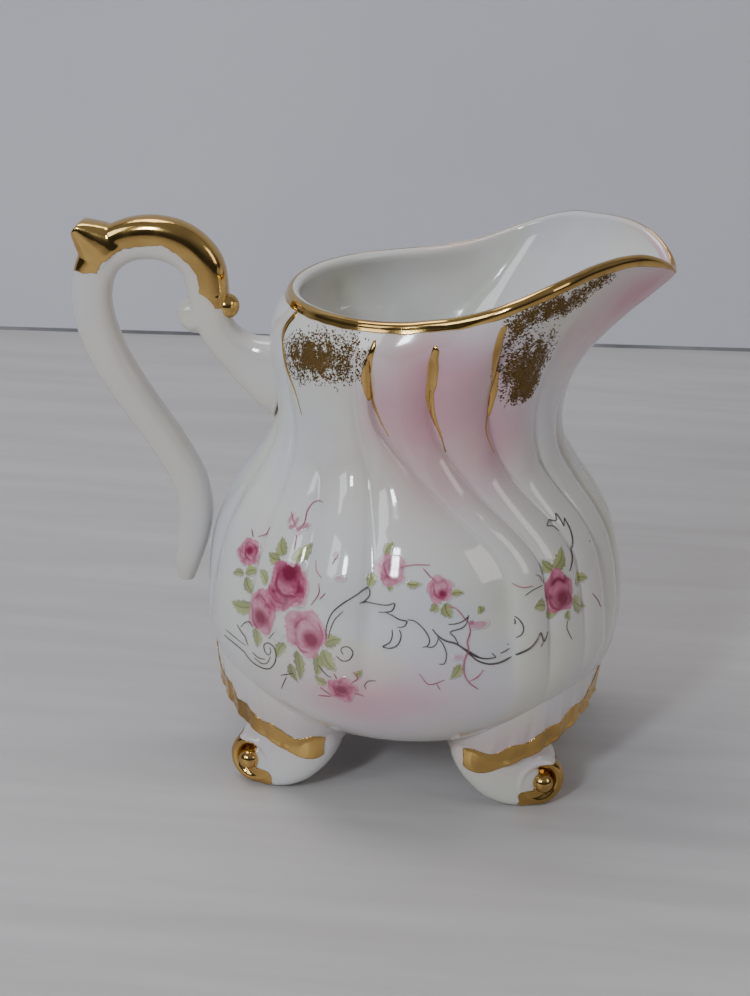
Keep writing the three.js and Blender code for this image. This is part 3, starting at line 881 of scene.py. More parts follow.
def makeHemGold(place, foot, signX, signY):
    hemRadius, hemHeight, topHeight = footCurves()

    def field(points, normals):
        x, y = (points[:, 0] - axisX) * signX, points[:, 1] * signY
        angle = np.degrees(np.arctan2(y, x))
        inside = np.clip(angle, 6, 67)
        hemZ, topZ = hemHeight(inside), topHeight(inside)
        waver = 0.5 * np.sin(angle * 0.62 + 1) + 0.35 * softNoise(points, 5, 5)
        waver += 0.12 * softNoise(points, 1.6, 6)
        band = hemZ + 0.42 * np.minimum(topZ - hemZ, 8) + waver - points[:, 2]
        under = points[:, 2] - (hemZ - 1.35)
        outside = np.hypot(x, y) - hemRadius(inside) + 2.4
        ends = np.minimum((angle - 7.5) * 0.5, (64.6 - angle) * 0.32)
        blob = 1.5 - np.hypot((angle - 17) * 0.65, points[:, 2] - hemZ - 3.6)  # a thick drop of gold
        hem = np.minimum(np.minimum(np.maximum(band, blob), under), np.minimum(outside, ends))
        return np.clip(hem, -1, 1)
    made = goldSkin("hemGold_" + place, foot, field, 0.03, 0.12, brightGold)
    return placePiece(made, "gilding", "gilding_" + place)


def makeCurl(place, foot, signX, signY):
    # the outer half of the scroll is gilded, with a gold bead in its eye
    along, facing, middle = footWays(signX, signY)

    def field(points, normals):
        away = points - middle
        side = away @ along
        radial = np.hypot(side, away[:, 2])
        ragged = 0.45 * softNoise(points, 3.2, 11) + 0.15 * softNoise(points, 1.1, 12)
        edge = side + 0.6 + 0.22 * np.maximum(-away[:, 2], 0) + ragged
        lower = np.minimum(side + 4.4 + ragged, -away[:, 2] - 1.6)  # gold run down under the bead
        gold = np.maximum(edge, np.minimum(lower, away @ facing))
        above = (points[:, 2] - 0.4) * 2
        return np.clip(np.minimum(np.minimum(gold, 6.2 - radial), np.minimum(above, 3.9 - away[:, 2])), -1, 1)
    made = goldSkin("scrollGold_" + place, foot, field, 0.03, 0.12, brightGold)
    size = footForm["eye"]
    centre = middle + facing * footForm["eyeForward"] + along * footForm["eyeSide"]
    rows, columns = 40, 56
    lift = np.linspace(0, np.pi, rows + 2)[1:-1]
    turn = np.arange(columns) / columns * 2 * np.pi
    up = np.array([0, 0, 1.0])
    rings = [centre + facing * math.cos(a) * size + math.sin(a) * size * (
        np.cos(turn)[:, None] * along + np.sin(turn)[:, None] * up) for a in lift]
    points, faces = loft(np.array([centre + facing * size, centre - facing * size]), rings)
    joinObjects(made, outward(makeObject("bead", points, faces)))
    return placePiece(made, "gilding", "curl_" + place)


for place, signX, signY in (
        ("front_left", -1, -1), ("front_right", 1, -1), ("back_left", -1, 1), ("back_right", 1, 1)):
    foot = makeFoot(place, signX, signY)
    makeHemGold(place, foot, signX, signY)
    makeCurl(place, foot, signX, signY)
    print("foot", place, len(foot.data.polygons))


# painted sprays

perDegree = 0.7156  # millimetres across one degree at the belly

sprays = {
    "fineness": 0.2, "offset": 0.045, "film": 0.03,
    "patches": [  # degrees from and to, height from and to
        (146, 98, 24.5, 64), (98.2, 63, 27, 60), (63.2, 22, 34, 61)],
    "roses": [  # degrees, height, half width in degrees, half height, the same four for the core, depth
        (124.5, 44.2, 3.6, 2.8, 124, 44.0, 1.3, 1.0, 0.6),
        (116.6, 47.2, 3.4, 3.6, 116.4, 47.4, 0.7, 0.7, 0.05),
        (128.5, 41, 6.8, 4.6, 128, 40, 2.6, 1.4, 0.55), (113, 40, 7.4, 4.9, 111, 39, 2.7, 1.5, 0.2),
        (121, 47.6, 6.2, 5.0, 120.5, 50.0, 2.7, 1.8, 0.8),
        (139, 50, 4.6, 2.8, 138.6, 50.4, 1.4, 0.8, 0.5),
        (90.8, 53.6, 4.8, 2.9, 89.8, 54.1, 1.5, 0.8, 0.45),
        (77, 50.8, 3.9, 2.6, 76.3, 50.1, 1.1, 0.7, 0.3),
        (41, 46.8, 5.6, 4.4, 40.2, 45.5, 2.0, 1.5, 0.85),
        (102, 30.3, 4.2, 2.7, 102, 30.2, 1.9, 0.95, 0.6)],
    "leaves": [  # base degrees and height, tip degrees and height, half width, 0 pale to 1 olive
        (123.5, 52.7, 126.5, 55.5, 1.1, 0.6), (120.5, 52.3, 117, 55.4, 1.0, 0.2),
        (124.5, 51.8, 129.5, 52, 0.8, 0.5),
        (127, 46.8, 131.5, 48.3, 0.9, 0.2), (134, 40.2, 141.5, 39.6, 1.1, 0.5),
        (138.5, 46, 142.8, 45, 0.6, 0.5),
        (138, 46.2, 134.5, 47.2, 0.8, 0.3), (137.5, 45.5, 134.3, 42.5, 0.8, 0.6),
        (129.8, 37.4, 128.8, 33.7, 1.1, 0.6),
        (119.2, 36.8, 121.5, 33.4, 0.8, 0.6), (115.7, 35.8, 114.2, 30.2, 1.0, 0.9),
        (117.5, 32.8, 115, 29.5, 0.7, 1.0),
        (106.8, 38.8, 102.6, 40.4, 1.0, 0.5), (107.3, 37.8, 103.6, 34, 1.1, 0.4),
        (109.2, 37, 109, 32, 0.8, 0.8),
        (41.5, 51.2, 36.2, 54.3, 1.1, 0.5), (42, 51, 44.5, 53, 0.9, 0.6),
        (46.2, 45, 50.5, 45.5, 0.9, 0.5),
        (45, 44.3, 45.3, 42, 1.0, 0.6), (36.5, 44.8, 30.2, 41.6, 1.2, 0.5),
        (34.5, 47.2, 28.3, 47, 0.9, 0.3),
        (39, 43, 38.5, 41, 0.6, 0.6), (93, 55.7, 90.3, 58, 0.7, 0.4), (94.8, 52.5, 96.8, 50, 0.8, 0.3),
        (91, 51.5, 90.5, 50, 0.5, 0.5), (86, 51.7, 82, 51.8, 0.5, 0.2), (78, 48.5, 79.5, 47, 0.7, 0.4),
        (75.5, 48.5, 74, 45.8, 0.9, 0.5), (74, 50, 70.5, 50, 0.5, 0.2), (66, 46, 66.5, 47.5, 0.6, 0.4),
        (71.5, 36.8, 74, 34, 0.8, 0.5), (98.6, 33.6, 97, 34.6, 0.5, 0.4),
        (106, 31, 109.5, 32, 0.6, 0.5)],
    "petals": [  # centre degrees and height, half width, half height, depth: loose petals and buds
        (126.3, 58.6, 0.6, 1.0, 0.5), (124, 58.2, 0.5, 1.1, 0.6), (120.6, 58.0, 0.9, 0.6, 0.6),
        (122, 57.2, 0.6, 0.8, 0.8), (66.6, 44.0, 2.0, 0.8, 0.5), (68.6, 44.6, 0.6, 0.5, 0.8),
        (104.5, 51.4, 1.2, 0.5, 0.15), (72, 38.2, 1.1, 0.6, 0.3), (107, 55, 0.4, 0.5, 0.3),
        (125, 57.4, 0.7, 0.4, 0.7)],
    "strokes": [  # width, depth of pink, then degrees and heights along the brush stroke
        (0.5, 0.9, (124, 49.5), (123.5, 47), (121, 45.7), (118.5, 46)),
        (0.4, 0.7, (125.5, 45.5), (123, 44.4), (120, 44.2)), (0.35, 0.8, (117.5, 49), (117, 47.4),
         (118, 46.4)),
        (0.45, 0.7, (131.5, 42.8), (129.5, 44), (126.5, 43.6)), (0.4, 0.8, (132.2, 40.2),
         (131, 38.4), (128.5, 37.6)),
        (0.4, 0.5, (117, 40), (115.4, 41.8), (113.5, 42.5)), (0.35, 0.45, (109, 42.6),
         (107.6, 40.6), (108.4, 38)),
        (0.35, 0.5, (116.5, 37.2), (114, 36.2), (111.4, 36.4)), (0.3, 0.9, (140.4, 50.8),
         (139.6, 49.3), (137.6, 48.8)),
        (0.3, 0.8, (138, 51.8), (136.4, 50.9), (136.2, 49.8)), (0.45, 1.0, (43.4, 48.2),
         (41, 49.3), (38.6, 48.2)),
        (0.4, 0.9, (44.4, 46), (43.4, 44.2), (41, 43.4)), (0.35, 0.9, (38, 46.6), (37.4, 45),
         (38.8, 43.8)),
        (0.3, 0.7, (92.8, 54.4), (91.6, 52.6), (89.4, 52.2)), (0.25, 0.6, (78.8, 51.6),
         (78, 49.8), (76, 49.2)),
        (0.3, 0.8, (104, 31), (103.4, 29.2), (101.2, 28.8))],
}

deepRose, midRose = np.array([0.20, 0.012, 0.045]), np.array([0.50, 0.085, 0.19])
paleRose = np.array([0.74, 0.33, 0.42])
oliveLeaf, paleLeaf = np.array([0.13, 0.15, 0.035]), np.array([0.47, 0.50, 0.17])


def layOver(paint, colour, alpha):
    # one wash of colour over what is already painted
    alpha = np.clip(alpha, 0, 1)
    below = paint[:, 3] * (1 - alpha)
    total = alpha + below
    safe = np.maximum(total, 1e-6)[:, None]
    paint[:, :3] = (np.asarray(colour) * alpha[:, None] + paint[:, :3] * below[:, None]) / safe
    paint[:, 3] = total


def pathDistance(u, v, path):
    # distance to a line and how far along it the nearest place is
    best = np.full(len(u), 1e9)
    share = np.zeros(len(u))
    count = len(path) - 1
    for i in range(count):
        a, b = path[i], path[i + 1]
        way = b - a
        t = np.clip(((u - a[0]) * way[0] + (v - a[1]) * way[1]) / max(way @ way, 1e-9), 0, 1)
        far = np.hypot(u - a[0] - t * way[0], v - a[1] - t * way[1])
        closer = far < best
        best = np.where(closer, far, best)
        share = np.where(closer, (i + t) / count, share)
    return best, share


def pinkAt(depth):
    depth = np.clip(np.asarray(depth, float), 0, 1)[..., None]
    pale = paleRose + (midRose - paleRose) * np.minimum(depth * 2, 1)
    return pale + (deepRose - midRose) * np.maximum(depth * 2 - 1, 0)


def paintRose(paint, u, v, rose, seed):
    angle, z, wide, high, coreAngle, coreZ, coreWide, coreHigh, depth = rose
    x, y = (u + angle * perDegree) / (wide * perDegree), (v - z) / high
    r, turn = np.hypot(x, y), np.arctan2(y, x)
    grain = softNoise(np.column_stack([u, v]), 1.1, seed)
    limit = 0.93 + 0.07 * np.cos(5 * turn + seed) + 0.05 * np.sin(3 * turn + 2 * seed) + 0.03 * grain
    inside = 1 - smoothStep(r, limit - 0.10, limit + 0.03)
    fold = np.abs(np.sin(2.5 * turn + 1.7 * r + seed)) ** 7 * smoothStep(r, 0.2, 0.5)
    ring = np.exp(-((r - 0.56 - 0.07 * np.cos(3 * turn + seed)) / 0.07) ** 2)
    tone = 0.10 + 0.34 * depth + 0.30 * fold * (0.4 + depth) + 0.28 * ring + 0.10 * grain
    tone -= 0.16 * smoothStep(r, 0.65, 0.95)
    layOver(paint, pinkAt(tone), inside * (0.80 + 0.12 * depth))
    edge = np.exp(-((r - limit + 0.07) / 0.045) ** 2) * (0.25 + 0.45 * depth)
    layOver(paint, pinkAt(0.5), edge * inside)
    core = np.hypot((u + coreAngle * perDegree) / (coreWide * perDegree), (v - coreZ) / coreHigh)
    core += 0.10 * grain
    layOver(paint, pinkAt(0.62 + 0.25 * depth), 0.75 * (1 - smoothStep(core, 0.9, 1.6)) * inside)
    layOver(paint, pinkAt(0.85 + 0.15 * depth), 0.95 * (1 - smoothStep(core, 0.55, 1.05)))


def paintLeaf(paint, u, v, leaf, seed):
    baseAngle, baseZ, tipAngle, tipZ, half, tone = leaf
    base = np.array([-baseAngle * perDegree, baseZ])
    way = np.array([-tipAngle * perDegree, tipZ]) - base
    size = math.hypot(*way)
    half = half * 1.25
    along = ((u - base[0]) * way[0] + (v - base[1]) * way[1]) / size ** 2
    across = ((u - base[0]) * way[1] - (v - base[1]) * way[0]) / size
    t = np.clip(along, 0, 1)
    across = across - 0.35 * half * np.sin(np.pi * t) * (1 if seed % 2 else -1)
    outline = half * np.sin(np.pi * t ** 0.75) ** 0.8 * (1 + 0.10 * np.sin(t * 26 + seed))
    inside = smoothStep(outline - np.abs(across), -0.10, 0.12) * (along > 0) * (along < 1)
    green = paleLeaf + (oliveLeaf - paleLeaf) * np.clip(
        tone * 0.55 + 0.30 * np.sign(across) * (np.abs(across) / half) + 0.25 * (1 - t), 0, 1)[:, None]
    layOver(paint, green, inside * 0.88)
    vein = np.exp(-(across / 0.10) ** 2) * smoothStep(t, 0.0, 0.1) * (1 - smoothStep(t, 0.8, 1))
    rim = np.exp(-((outline - np.abs(across) - 0.05) / 0.09) ** 2)
    layOver(paint, oliveLeaf * 0.8, inside * np.maximum(vein * 0.85, rim * (0.35 + 0.45 * tone)))


def paintSprays(angle, z):
    # colour and cover at every place of a patch
    u, v = -angle * perDegree, z
    paint = np.zeros((len(u), 4))
    grain = softNoise(np.column_stack([u, v]), 2.5, 77)
    for centreAngle, height, reach in ((121.5, 42.7, 1.8), (122, 38.6, 1.6)):
        away = np.hypot(u + centreAngle * perDegree, v - height) / reach
        layOver(paint, (0.33, 0.36, 0.36), 0.20 * np.exp(-away ** 2 * 1.6) * (1 + 0.4 * grain))
    for i, leaf in enumerate(sprays["leaves"]):
        paintLeaf(paint, u, v, leaf, i)
    for i, rose in enumerate(sprays["roses"]):
        paintRose(paint, u, v, rose, 3 + i)
    for centreAngle, height, wide, high, depth in sprays["petals"]:
        away = np.hypot((u + centreAngle * perDegree) / wide, (v - height) / high)
        cover = (0.35 + 0.55 * depth) * (1 - smoothStep(away, 0.6, 1.2))
        layOver(paint, pinkAt(0.25 + 0.5 * depth + 0.15 * grain), cover)
    for stroke in sprays["strokes"]:
        width, depth = stroke[:2]
        path = smoothPath([(-a * perDegree, h) for a, h in stroke[2:]], 14)
        far, share = pathDistance(u, v, path)
        brush = width * (0.35 + 0.65 * np.sin(np.pi * share))
        layOver(paint, pinkAt(0.35 + 0.6 * depth), 0.8 * (1 - smoothStep(far, brush * 0.5, brush * 1.1)))
    paint[:, 3] *= 1 - smoothStep(-paint[:, 3], -0.03, 0.0)
    return paint


def patchGrid(fromAngle, toAngle, low, high, rows, columns):
    # heights and angles of every place on an even patch of the wall
    zs, angles = np.meshgrid(
        np.linspace(low, high, rows), np.linspace(fromAngle, toAngle, columns), indexing="ij")
    return zs.ravel(), angles.ravel()


def makeSprays(side, name):
    parts = []
    for fromAngle, toAngle, low, high in sprays["patches"]:
        columns = int((fromAngle - toAngle) * perDegree / sprays["fineness"])
        rows = int((high - low) / sprays["fineness"])
        zs, angles = patchGrid(fromAngle, toAngle, low, high, rows, columns)
        paint = paintSprays(angles, zs)
        faces = np.array(gridFaces(rows, columns, False))
        shown = (paint[:, 3] > 0.025)[faces].any(1)
        edgeJoin = (angles[faces] < toAngle - 1).any(1)
        faces = faces[shown & ~edgeJoin]
        used, index = np.unique(faces, return_inverse=True)
        points = vesselPoints(angles[used] * side, zs[used], sprays["offset"])
        parts.append((points, index.reshape(-1, 4), paint[used]))
    start, points, faces, paint = 0, [], [], []
    for partPoints, partFaces, partPaint in parts:
        points.append(partPoints)
        faces += (partFaces + start).tolist()
        paint.append(partPaint)
        start += len(partPoints)
    if side < 0:
        faces = [face[::-1] for face in faces]
    made = makeObject(name, np.concatenate(points), [face[::-1] for face in faces], paintedPorcelain)
    storeColour(made.data, "paint", np.concatenate(paint))
    storeBlush(made)
    film = made.modifiers.new("film", "SOLIDIFY")
    film.thickness = sprays["film"] * mm
    film.offset = 1
    applyModifiers(made)
    return placePiece(made, "porcelain")


for side, name in ((1, "sprayFront"), (-1, "sprayBack")):
    made = makeSprays(side, name)
    print(name, len(made.data.polygons))


# drawn scrollwork and stems

scrollwork = {  # thickness share, then degrees and heights along each pen line
    "radius": 0.125, "sides": 6, "spacing": 0.3, "lift": 0.08,
    "ink": [
        (1.1, (106.5, 40), (106.6, 42.5), (105.5, 45), (103, 47), (99.5, 48.8), (97.2, 50),
         (96.5, 49.8), (96.1, 49),
         (96.8, 48), (98.5, 47.2)),
        (0.8, (105.8, 40.3), (105.5, 42), (104.5, 44), (102.5, 45.7)),
        (1.1, (98, 47.4), (94.5, 47.5), (91, 47.6), (89, 48.1), (89, 47.5), (89.6, 46.7),
         (91.5, 46.3), (93.2, 46.1)),
        (1.0, (91.5, 46.3), (89.5, 45.9), (87.5, 45.3), (85.5, 45.1), (85.5, 44.9), (86.2, 44.1),
         (88, 43.8)),
        (1.1, (89.3, 43.3), (89.2, 42), (89.8, 40.8), (91.5, 39.9), (90, 39.7), (88.2, 40.2),
         (87.2, 41.2), (86.9, 42.5),
         (87.4, 43.4)),
        (1.0, (85.3, 45.4), (83.5, 45.2), (81.5, 44.1), (80, 42.6), (79.6, 41.5), (80.2, 40.6),
         (81.3, 40.4)),
        (0.8, (80.5, 40.5), (79, 40.4), (77.9, 41), (77.3, 42.2)),
        (1.5, (78.9, 43.8), (77.5, 42.6), (75.5, 41.6), (73, 41), (71, 40), (69, 39), (66.5, 37.8)),
        (0.9, (77.6, 42.3), (76.2, 41), (75.3, 39.3), (75.3, 38), (75.8, 37.1), (77, 37.1)),
        (0.9, (74.8, 44.6), (72.5, 44.7), (70.5, 45.2), (69.3, 46)),
        (1.0, (69.5, 45.8), (69.9, 44.7), (71.2, 43.8), (74.3, 43.2), (73.2, 42.2), (72.3, 41),
         (72, 40.5)),
        (1.2, (72, 40.5), (69.5, 39), (67, 37.9), (64.5, 37.3), (61.8, 37.2)), (0.8, (63, 38.2),
         (61.8, 37.3)),
        (1.5, (70, 39.2), (67, 37.2), (64, 36.2), (61, 36), (58, 36.4), (55, 37.2), (52, 38),
         (50, 39.2), (48.8, 40.4),
         (48.2, 39.7), (47.6, 38.5), (46.5, 39.1), (45.9, 40)),
        (0.8, (47.6, 38.5), (48.7, 37.6)), (0.9, (60.5, 37.8), (58.5, 38.1), (56.8, 38.7),
         (58.4, 39.3)),
        (1.0, (57.2, 41), (56.2, 42.2), (55.9, 43.5), (56.5, 44.6)),
        (1.0, (56.5, 44.6), (55, 43.8), (53.9, 42.3), (54.3, 41), (55.8, 40.3)),
        (1.3, (36, 49.9), (34.5, 50.6), (32.3, 51.8), (30.3, 54), (29.7, 56), (30.2, 58.3)),
        (1.0, (30.2, 58.3), (31, 57.6), (31.5, 57), (32, 58.6), (32.8, 59.4), (33.5, 58.2),
         (36, 58.6), (38.8, 58.2),
         (36.5, 57.8), (34.8, 57.2), (33.3, 56.3)),
        (0.9, (103.5, 37), (101.8, 36.2), (100, 36.7), (99.3, 38), (100.3, 39), (101.8, 39),
         (102.4, 38.3), (101.7, 37.5)),
        (0.9, (131, 37.2), (133, 37.6), (135.5, 36.8), (137, 35.5)), (0.9, (138.5, 35.6),
         (136.5, 34.5), (133, 32.8)),
        (1.0, (145, 31.5), (138, 31.2), (131, 29.8), (127, 29.7), (124, 30.4), (122.2, 32),
         (121.7, 33.7), (122.4, 35.2),
         (124.3, 35.7), (125.9, 34.9), (125.6, 33.7), (124.4, 33.2), (123.5, 34), (123.8, 34.9)),
        (0.8, (130.8, 32), (128, 31.6), (125.5, 32)), (0.8, (130, 31), (127, 30.7), (124.8, 31.4),
         (123.6, 33)),
        (0.8, (120.3, 29.8), (116.5, 31)), (0.8, (121, 26.5), (118.5, 29.8)), (0.7, (124.3, 36.5),
         (122.5, 38.3)),
        (0.7, (48.5, 51.3), (46.8, 50.5), (46.4, 49.6)), (0.7, (52.8, 48.1), (50, 48.8), (46.5, 49)),
        (0.7, (108.5, 34.5), (106, 32.8), (104.7, 32.5)), (0.7, (93, 33), (95, 32.7), (96, 31.7),
         (95.5, 31)),
        (0.7, (39.2, 41), (39.5, 39.5), (37.5, 36.8)), (0.6, (144, 33), (140, 32.8), (134.5, 32.2))],
    "rose": [
        (1.3, (69.5, 44.8), (69, 43), (69.8, 41), (69.5, 39.5), (70.5, 37.5), (70.5, 35),
         (69.2, 33), (66.6, 31.3)),
        (1.0, (69, 33.2), (67, 33.8), (65.3, 35.2)), (1.0, (88, 54.2), (84.5, 54.8), (79.5, 54.9)),
        (0.9, (81.5, 54.3), (79.5, 53), (78, 52.2)), (1.0, (75, 48), (72.5, 47.3), (70, 45)),
        (0.7, (82, 35.2), (79.5, 33), (75.5, 33.8)), (0.7, (77.5, 33), (76.5, 31.8)),
        (1.0, (141, 54), (139, 52.8)), (1.0, (137.5, 53.2), (135, 54.2), (134.3, 55.5)),
        (1.0, (122, 56.5), (121, 54)), (1.0, (122, 57), (121.3, 58.6), (122.1, 60.3),
         (121.3, 61.8), (117.5, 62.3)),
        (1.0, (122, 57), (127.5, 59.6)), (0.8, (113.2, 53.3), (112.3, 51.8), (110, 50.8)),
        (0.8, (107.5, 53.5), (106.5, 55.2)),
        (0.9, (112, 45.5), (110, 48), (110.5, 49.8)), (0.8, (109.5, 47), (108, 48.4)),
        (1.0, (56.5, 50.6), (53.5, 49.6), (50, 49.5)), (0.8, (27.3, 43.7), (25, 41.8), (23.5, 40)),
        (1.0, (99, 34.2), (97.8, 33), (99.2, 32.1)), (1.0, (108, 29.8), (104.8, 28.5)),
        (0.9, (108.8, 27.8), (105, 28.3)),
        (0.9, (104, 33.4), (103.2, 32.4)), (0.9, (96.2, 29.4), (98.6, 29.9))],
}


def growTree(name, inputs, output):
    # a geometry node tree with named inputs; values are set later by each input's identifier
    tree = bpy.data.node_groups.new(name, "GeometryNodeTree")
    sockets = {label: tree.interface.new_socket(label, in_out="INPUT", socket_type="NodeSocket" + kind)
               for label, kind in inputs}
    tree.interface.new_socket(output, in_out="OUTPUT", socket_type="NodeSocketGeometry")
    return tree, {label: socket.identifier for label, socket in sockets.items()}


def linkAll(tree, links):
    for start, end in links:
        tree.links.new(start, end)


def finishTree(tree, made, colour):
    # every tree ends by making its copies real and giving them their material
    realize = addNode(tree, "GeometryNodeRealizeInstances")
    paint = addNode(tree, "GeometryNodeSetMaterial")
    last = addNode(tree, "NodeGroupOutput")
    linkAll(tree, [
        (made, realize.inputs["Geometry"]), (realize.outputs["Geometry"], paint.inputs["Geometry"]),
        (colour, paint.inputs["Material"]), (paint.outputs["Geometry"], last.inputs[0])])


def runTree(made, tree, inputs, values):
    grown = made.modifiers.new("grown", "NODES")
    grown.node_group = tree
    for label, value in values.items():
        grown[inputs[label]] = value
    return outward(applyModifiers(made))


def storedNumber(tree, name):
    stored = addNode(tree, "GeometryNodeInputNamedAttribute", data_type="FLOAT")
    stored.inputs["Name"].default_value = name
    return stored.outputs["Attribute"]


def lineTree():
    # sweeps a fine round line along every drawn edge
    tree, inputs = growTree("drawnLines", [
        ("Drawn edges", "Geometry"), ("Line radius", "Float"), ("Sides", "Int"),
        ("Line material", "Material")],
        "Lines")
    given = addNode(tree, "NodeGroupInput").outputs
    curve = addNode(tree, "GeometryNodeMeshToCurve")
    scaled = mathStep(tree, "MULTIPLY", storedNumber(tree, "thickness"), given["Line radius"])
    circle = addNode(tree, "GeometryNodeCurvePrimitiveCircle")
    circle.inputs["Radius"].default_value = 1
    sweep = addNode(tree, "GeometryNodeCurveToMesh")
    sweep.inputs["Fill Caps"].default_value = True
    linkAll(tree, [
        (given["Drawn edges"], curve.inputs["Mesh"]), (curve.outputs["Curve"], sweep.inputs["Curve"]),
        (scaled, sweep.inputs["Scale"]), (given["Sides"], circle.inputs["Resolution"]),
        (circle.outputs["Curve"], sweep.inputs["Profile Curve"])])
    finishTree(tree, sweep.outputs["Mesh"], given["Line material"])
    return tree, inputs


drawnLines, lineInputs = lineTree()


def makeLines(name, lines, material, slotName):
    points, edges, thickness = [], [], []
    for side in (1, -1):
        for line in lines:
            drawn = np.array(line[1:], float)
            size = np.hypot(np.diff(drawn[:, 0]) * perDegree, np.diff(drawn[:, 1])).sum()
            steps = max(int(size / scrollwork["spacing"]), 4)
            path = smoothPath(drawn, steps) if len(drawn) > 2 else np.linspace(drawn[0], drawn[1], steps)
            start = len(points)
            points += vesselPoints(path[:, 0] * side, path[:, 1], scrollwork["lift"]).tolist()
            edges += [(start + i, start + i + 1) for i in range(steps - 1)]
            pressed = np.sin(np.pi * np.linspace(0.06, 0.94, steps)) ** 0.6
            thickness += (line[0] * (0.35 + 0.65 * pressed)).tolist()
    mesh = bpy.data.meshes.new(name)
    mesh.from_pydata((np.array(points) * mm).tolist(), edges, [])
    storeValue(mesh, "thickness", thickness)
    made = bpy.data.objects.new(name, mesh)
    bpy.context.scene.collection.objects.link(made)
    runTree(made, drawnLines, lineInputs, {
        "Line radius": scrollwork["radius"] * mm, "Sides": scrollwork["sides"], "Line material": material})
    return placePiece(made, slotName)


made = makeLines("scrollLines", scrollwork["ink"], scrollInk, "porcelain")
print("scroll lines", len(made.data.polygons))
made = makeLines("roseStems", scrollwork["rose"], stemPink, "porcelain")
print("stems", len(made.data.polygons))


# gold on the neck

neckGold = {
    "streaks": [  # widest width, then degrees and heights from head to tail
        (2.6, (142.3, 95), (144.8, 93.2), (146.5, 90.2), (145.6, 88.5), (142, 85.3),
         (138.5, 81.6), (135, 76.3)),
        (1.8, (100.2, 93.9), (102.8, 88.6), (103.2, 86.9), (101.7, 82.6), (98.7, 78.9), (95.3, 75.7)),
        (2.2, (78.7, 92.8), (79.5, 90.5), (79.8, 86.4), (80.3, 83.6), (78.5, 79.5), (75.5, 76),
         (72.9, 72.5)),
        (1.7, (60, 93.8), (60.8, 91.8), (59.7, 87.6), (57.2, 83.7), (56, 80.9), (56.1, 77.9),
         (57, 75.8), (55.5, 73.5),
         (52.5, 71.3))],
    "sponge": [  # degrees, height, reach in degrees, reach up, crowding: dabs of a gold sponge
        (121.5, 89.2, 16, 4.6, 0.8), (125, 88.8, 7, 2.2, 2.2), (134, 88, 9, 4.4, 0.7),
        (110, 90.5, 9, 4.2, 0.35),
        (46, 84.3, 9.5, 5.0, 0.8), (43, 80.6, 6.5, 1.9, 2.2), (47, 84.0, 6, 1.8, 1.2),
        (53, 87.0, 6, 4, 0.4),
        (50, 93.6, 9, 1.8, 1.1), (40, 93.0, 8, 1.6, 0.9), (31, 94.4, 6, 1.2, 0.8),
        (57, 92.3, 4, 2.6, 0.6)],
    "spongeGround": [(146, 102, 82, 95.3), (61, 24, 77, 95.3)],  # degrees from and to, height from and to
    "crowding": 34, "fleck": 0.19, "seed": 7,  # flecks to a square millimetre, radius, scatter
    "fleckLeast": (0.45, 0.45, 0.22), "fleckMost": (1.35, 1.35, 0.40),
    "groundRows": 54, "groundColumns": 90,
}


def makeStreak(side, streak):
    path = smoothPath(streak[1:], 90)
    share = np.linspace(0, 1, len(path))
    head = 0.62 + 0.38 * np.sin(share / 0.25 * np.pi / 2)
    tail = 0.10 + 0.90 * np.abs(np.cos((share - 0.25) / 0.75 * np.pi / 2)) ** 2.3
    width = 0.42 * streak[0] * np.where(share < 0.25, head, tail)
    width = width * np.minimum(1, 0.25 + share * 30) * (1 + 0.05 * np.sin(share * 40))
    across = np.linspace(-1, 1, 11)
    rings = []
    mmPerDegree = radiusAt(path[:, 1]) * math.radians(1)
    heading = np.gradient(np.column_stack([path[:, 0] * mmPerDegree, path[:, 1]]), axis=0)
    heading /= np.linalg.norm(heading, axis=1)[:, None]
    for i in range(len(path)):
        step = across * width[i]
        angle = path[i, 0] - step * heading[i, 1] / mmPerDegree[i]
        z = path[i, 1] + step * heading[i, 0]
        top = vesselPoints(angle * side, z, 0.05 + 0.16 * (1 - across ** 2) * min(1, width[i] / 0.6))
        under = vesselPoints(angle[::-1] * side, z[::-1], -0.06)
        rings.append(np.concatenate([top, under]))
    return loft(np.array([ring.mean(0) for ring in rings]), rings)


def makeStreaks():
    points, faces = [], []
    start = 0
    for side in (1, -1):
        for streak in neckGold["streaks"]:
            newPoints, newFaces = makeStreak(side, streak)
            points.append(newPoints)
            faces += [[i + start for i in (face if side > 0 else face[::-1])] for face in newFaces]
            start += len(newPoints)
    made = outward(makeObject("goldStreaks", np.concatenate(points), faces, brightGold))
    return placePiece(made, "gilding")


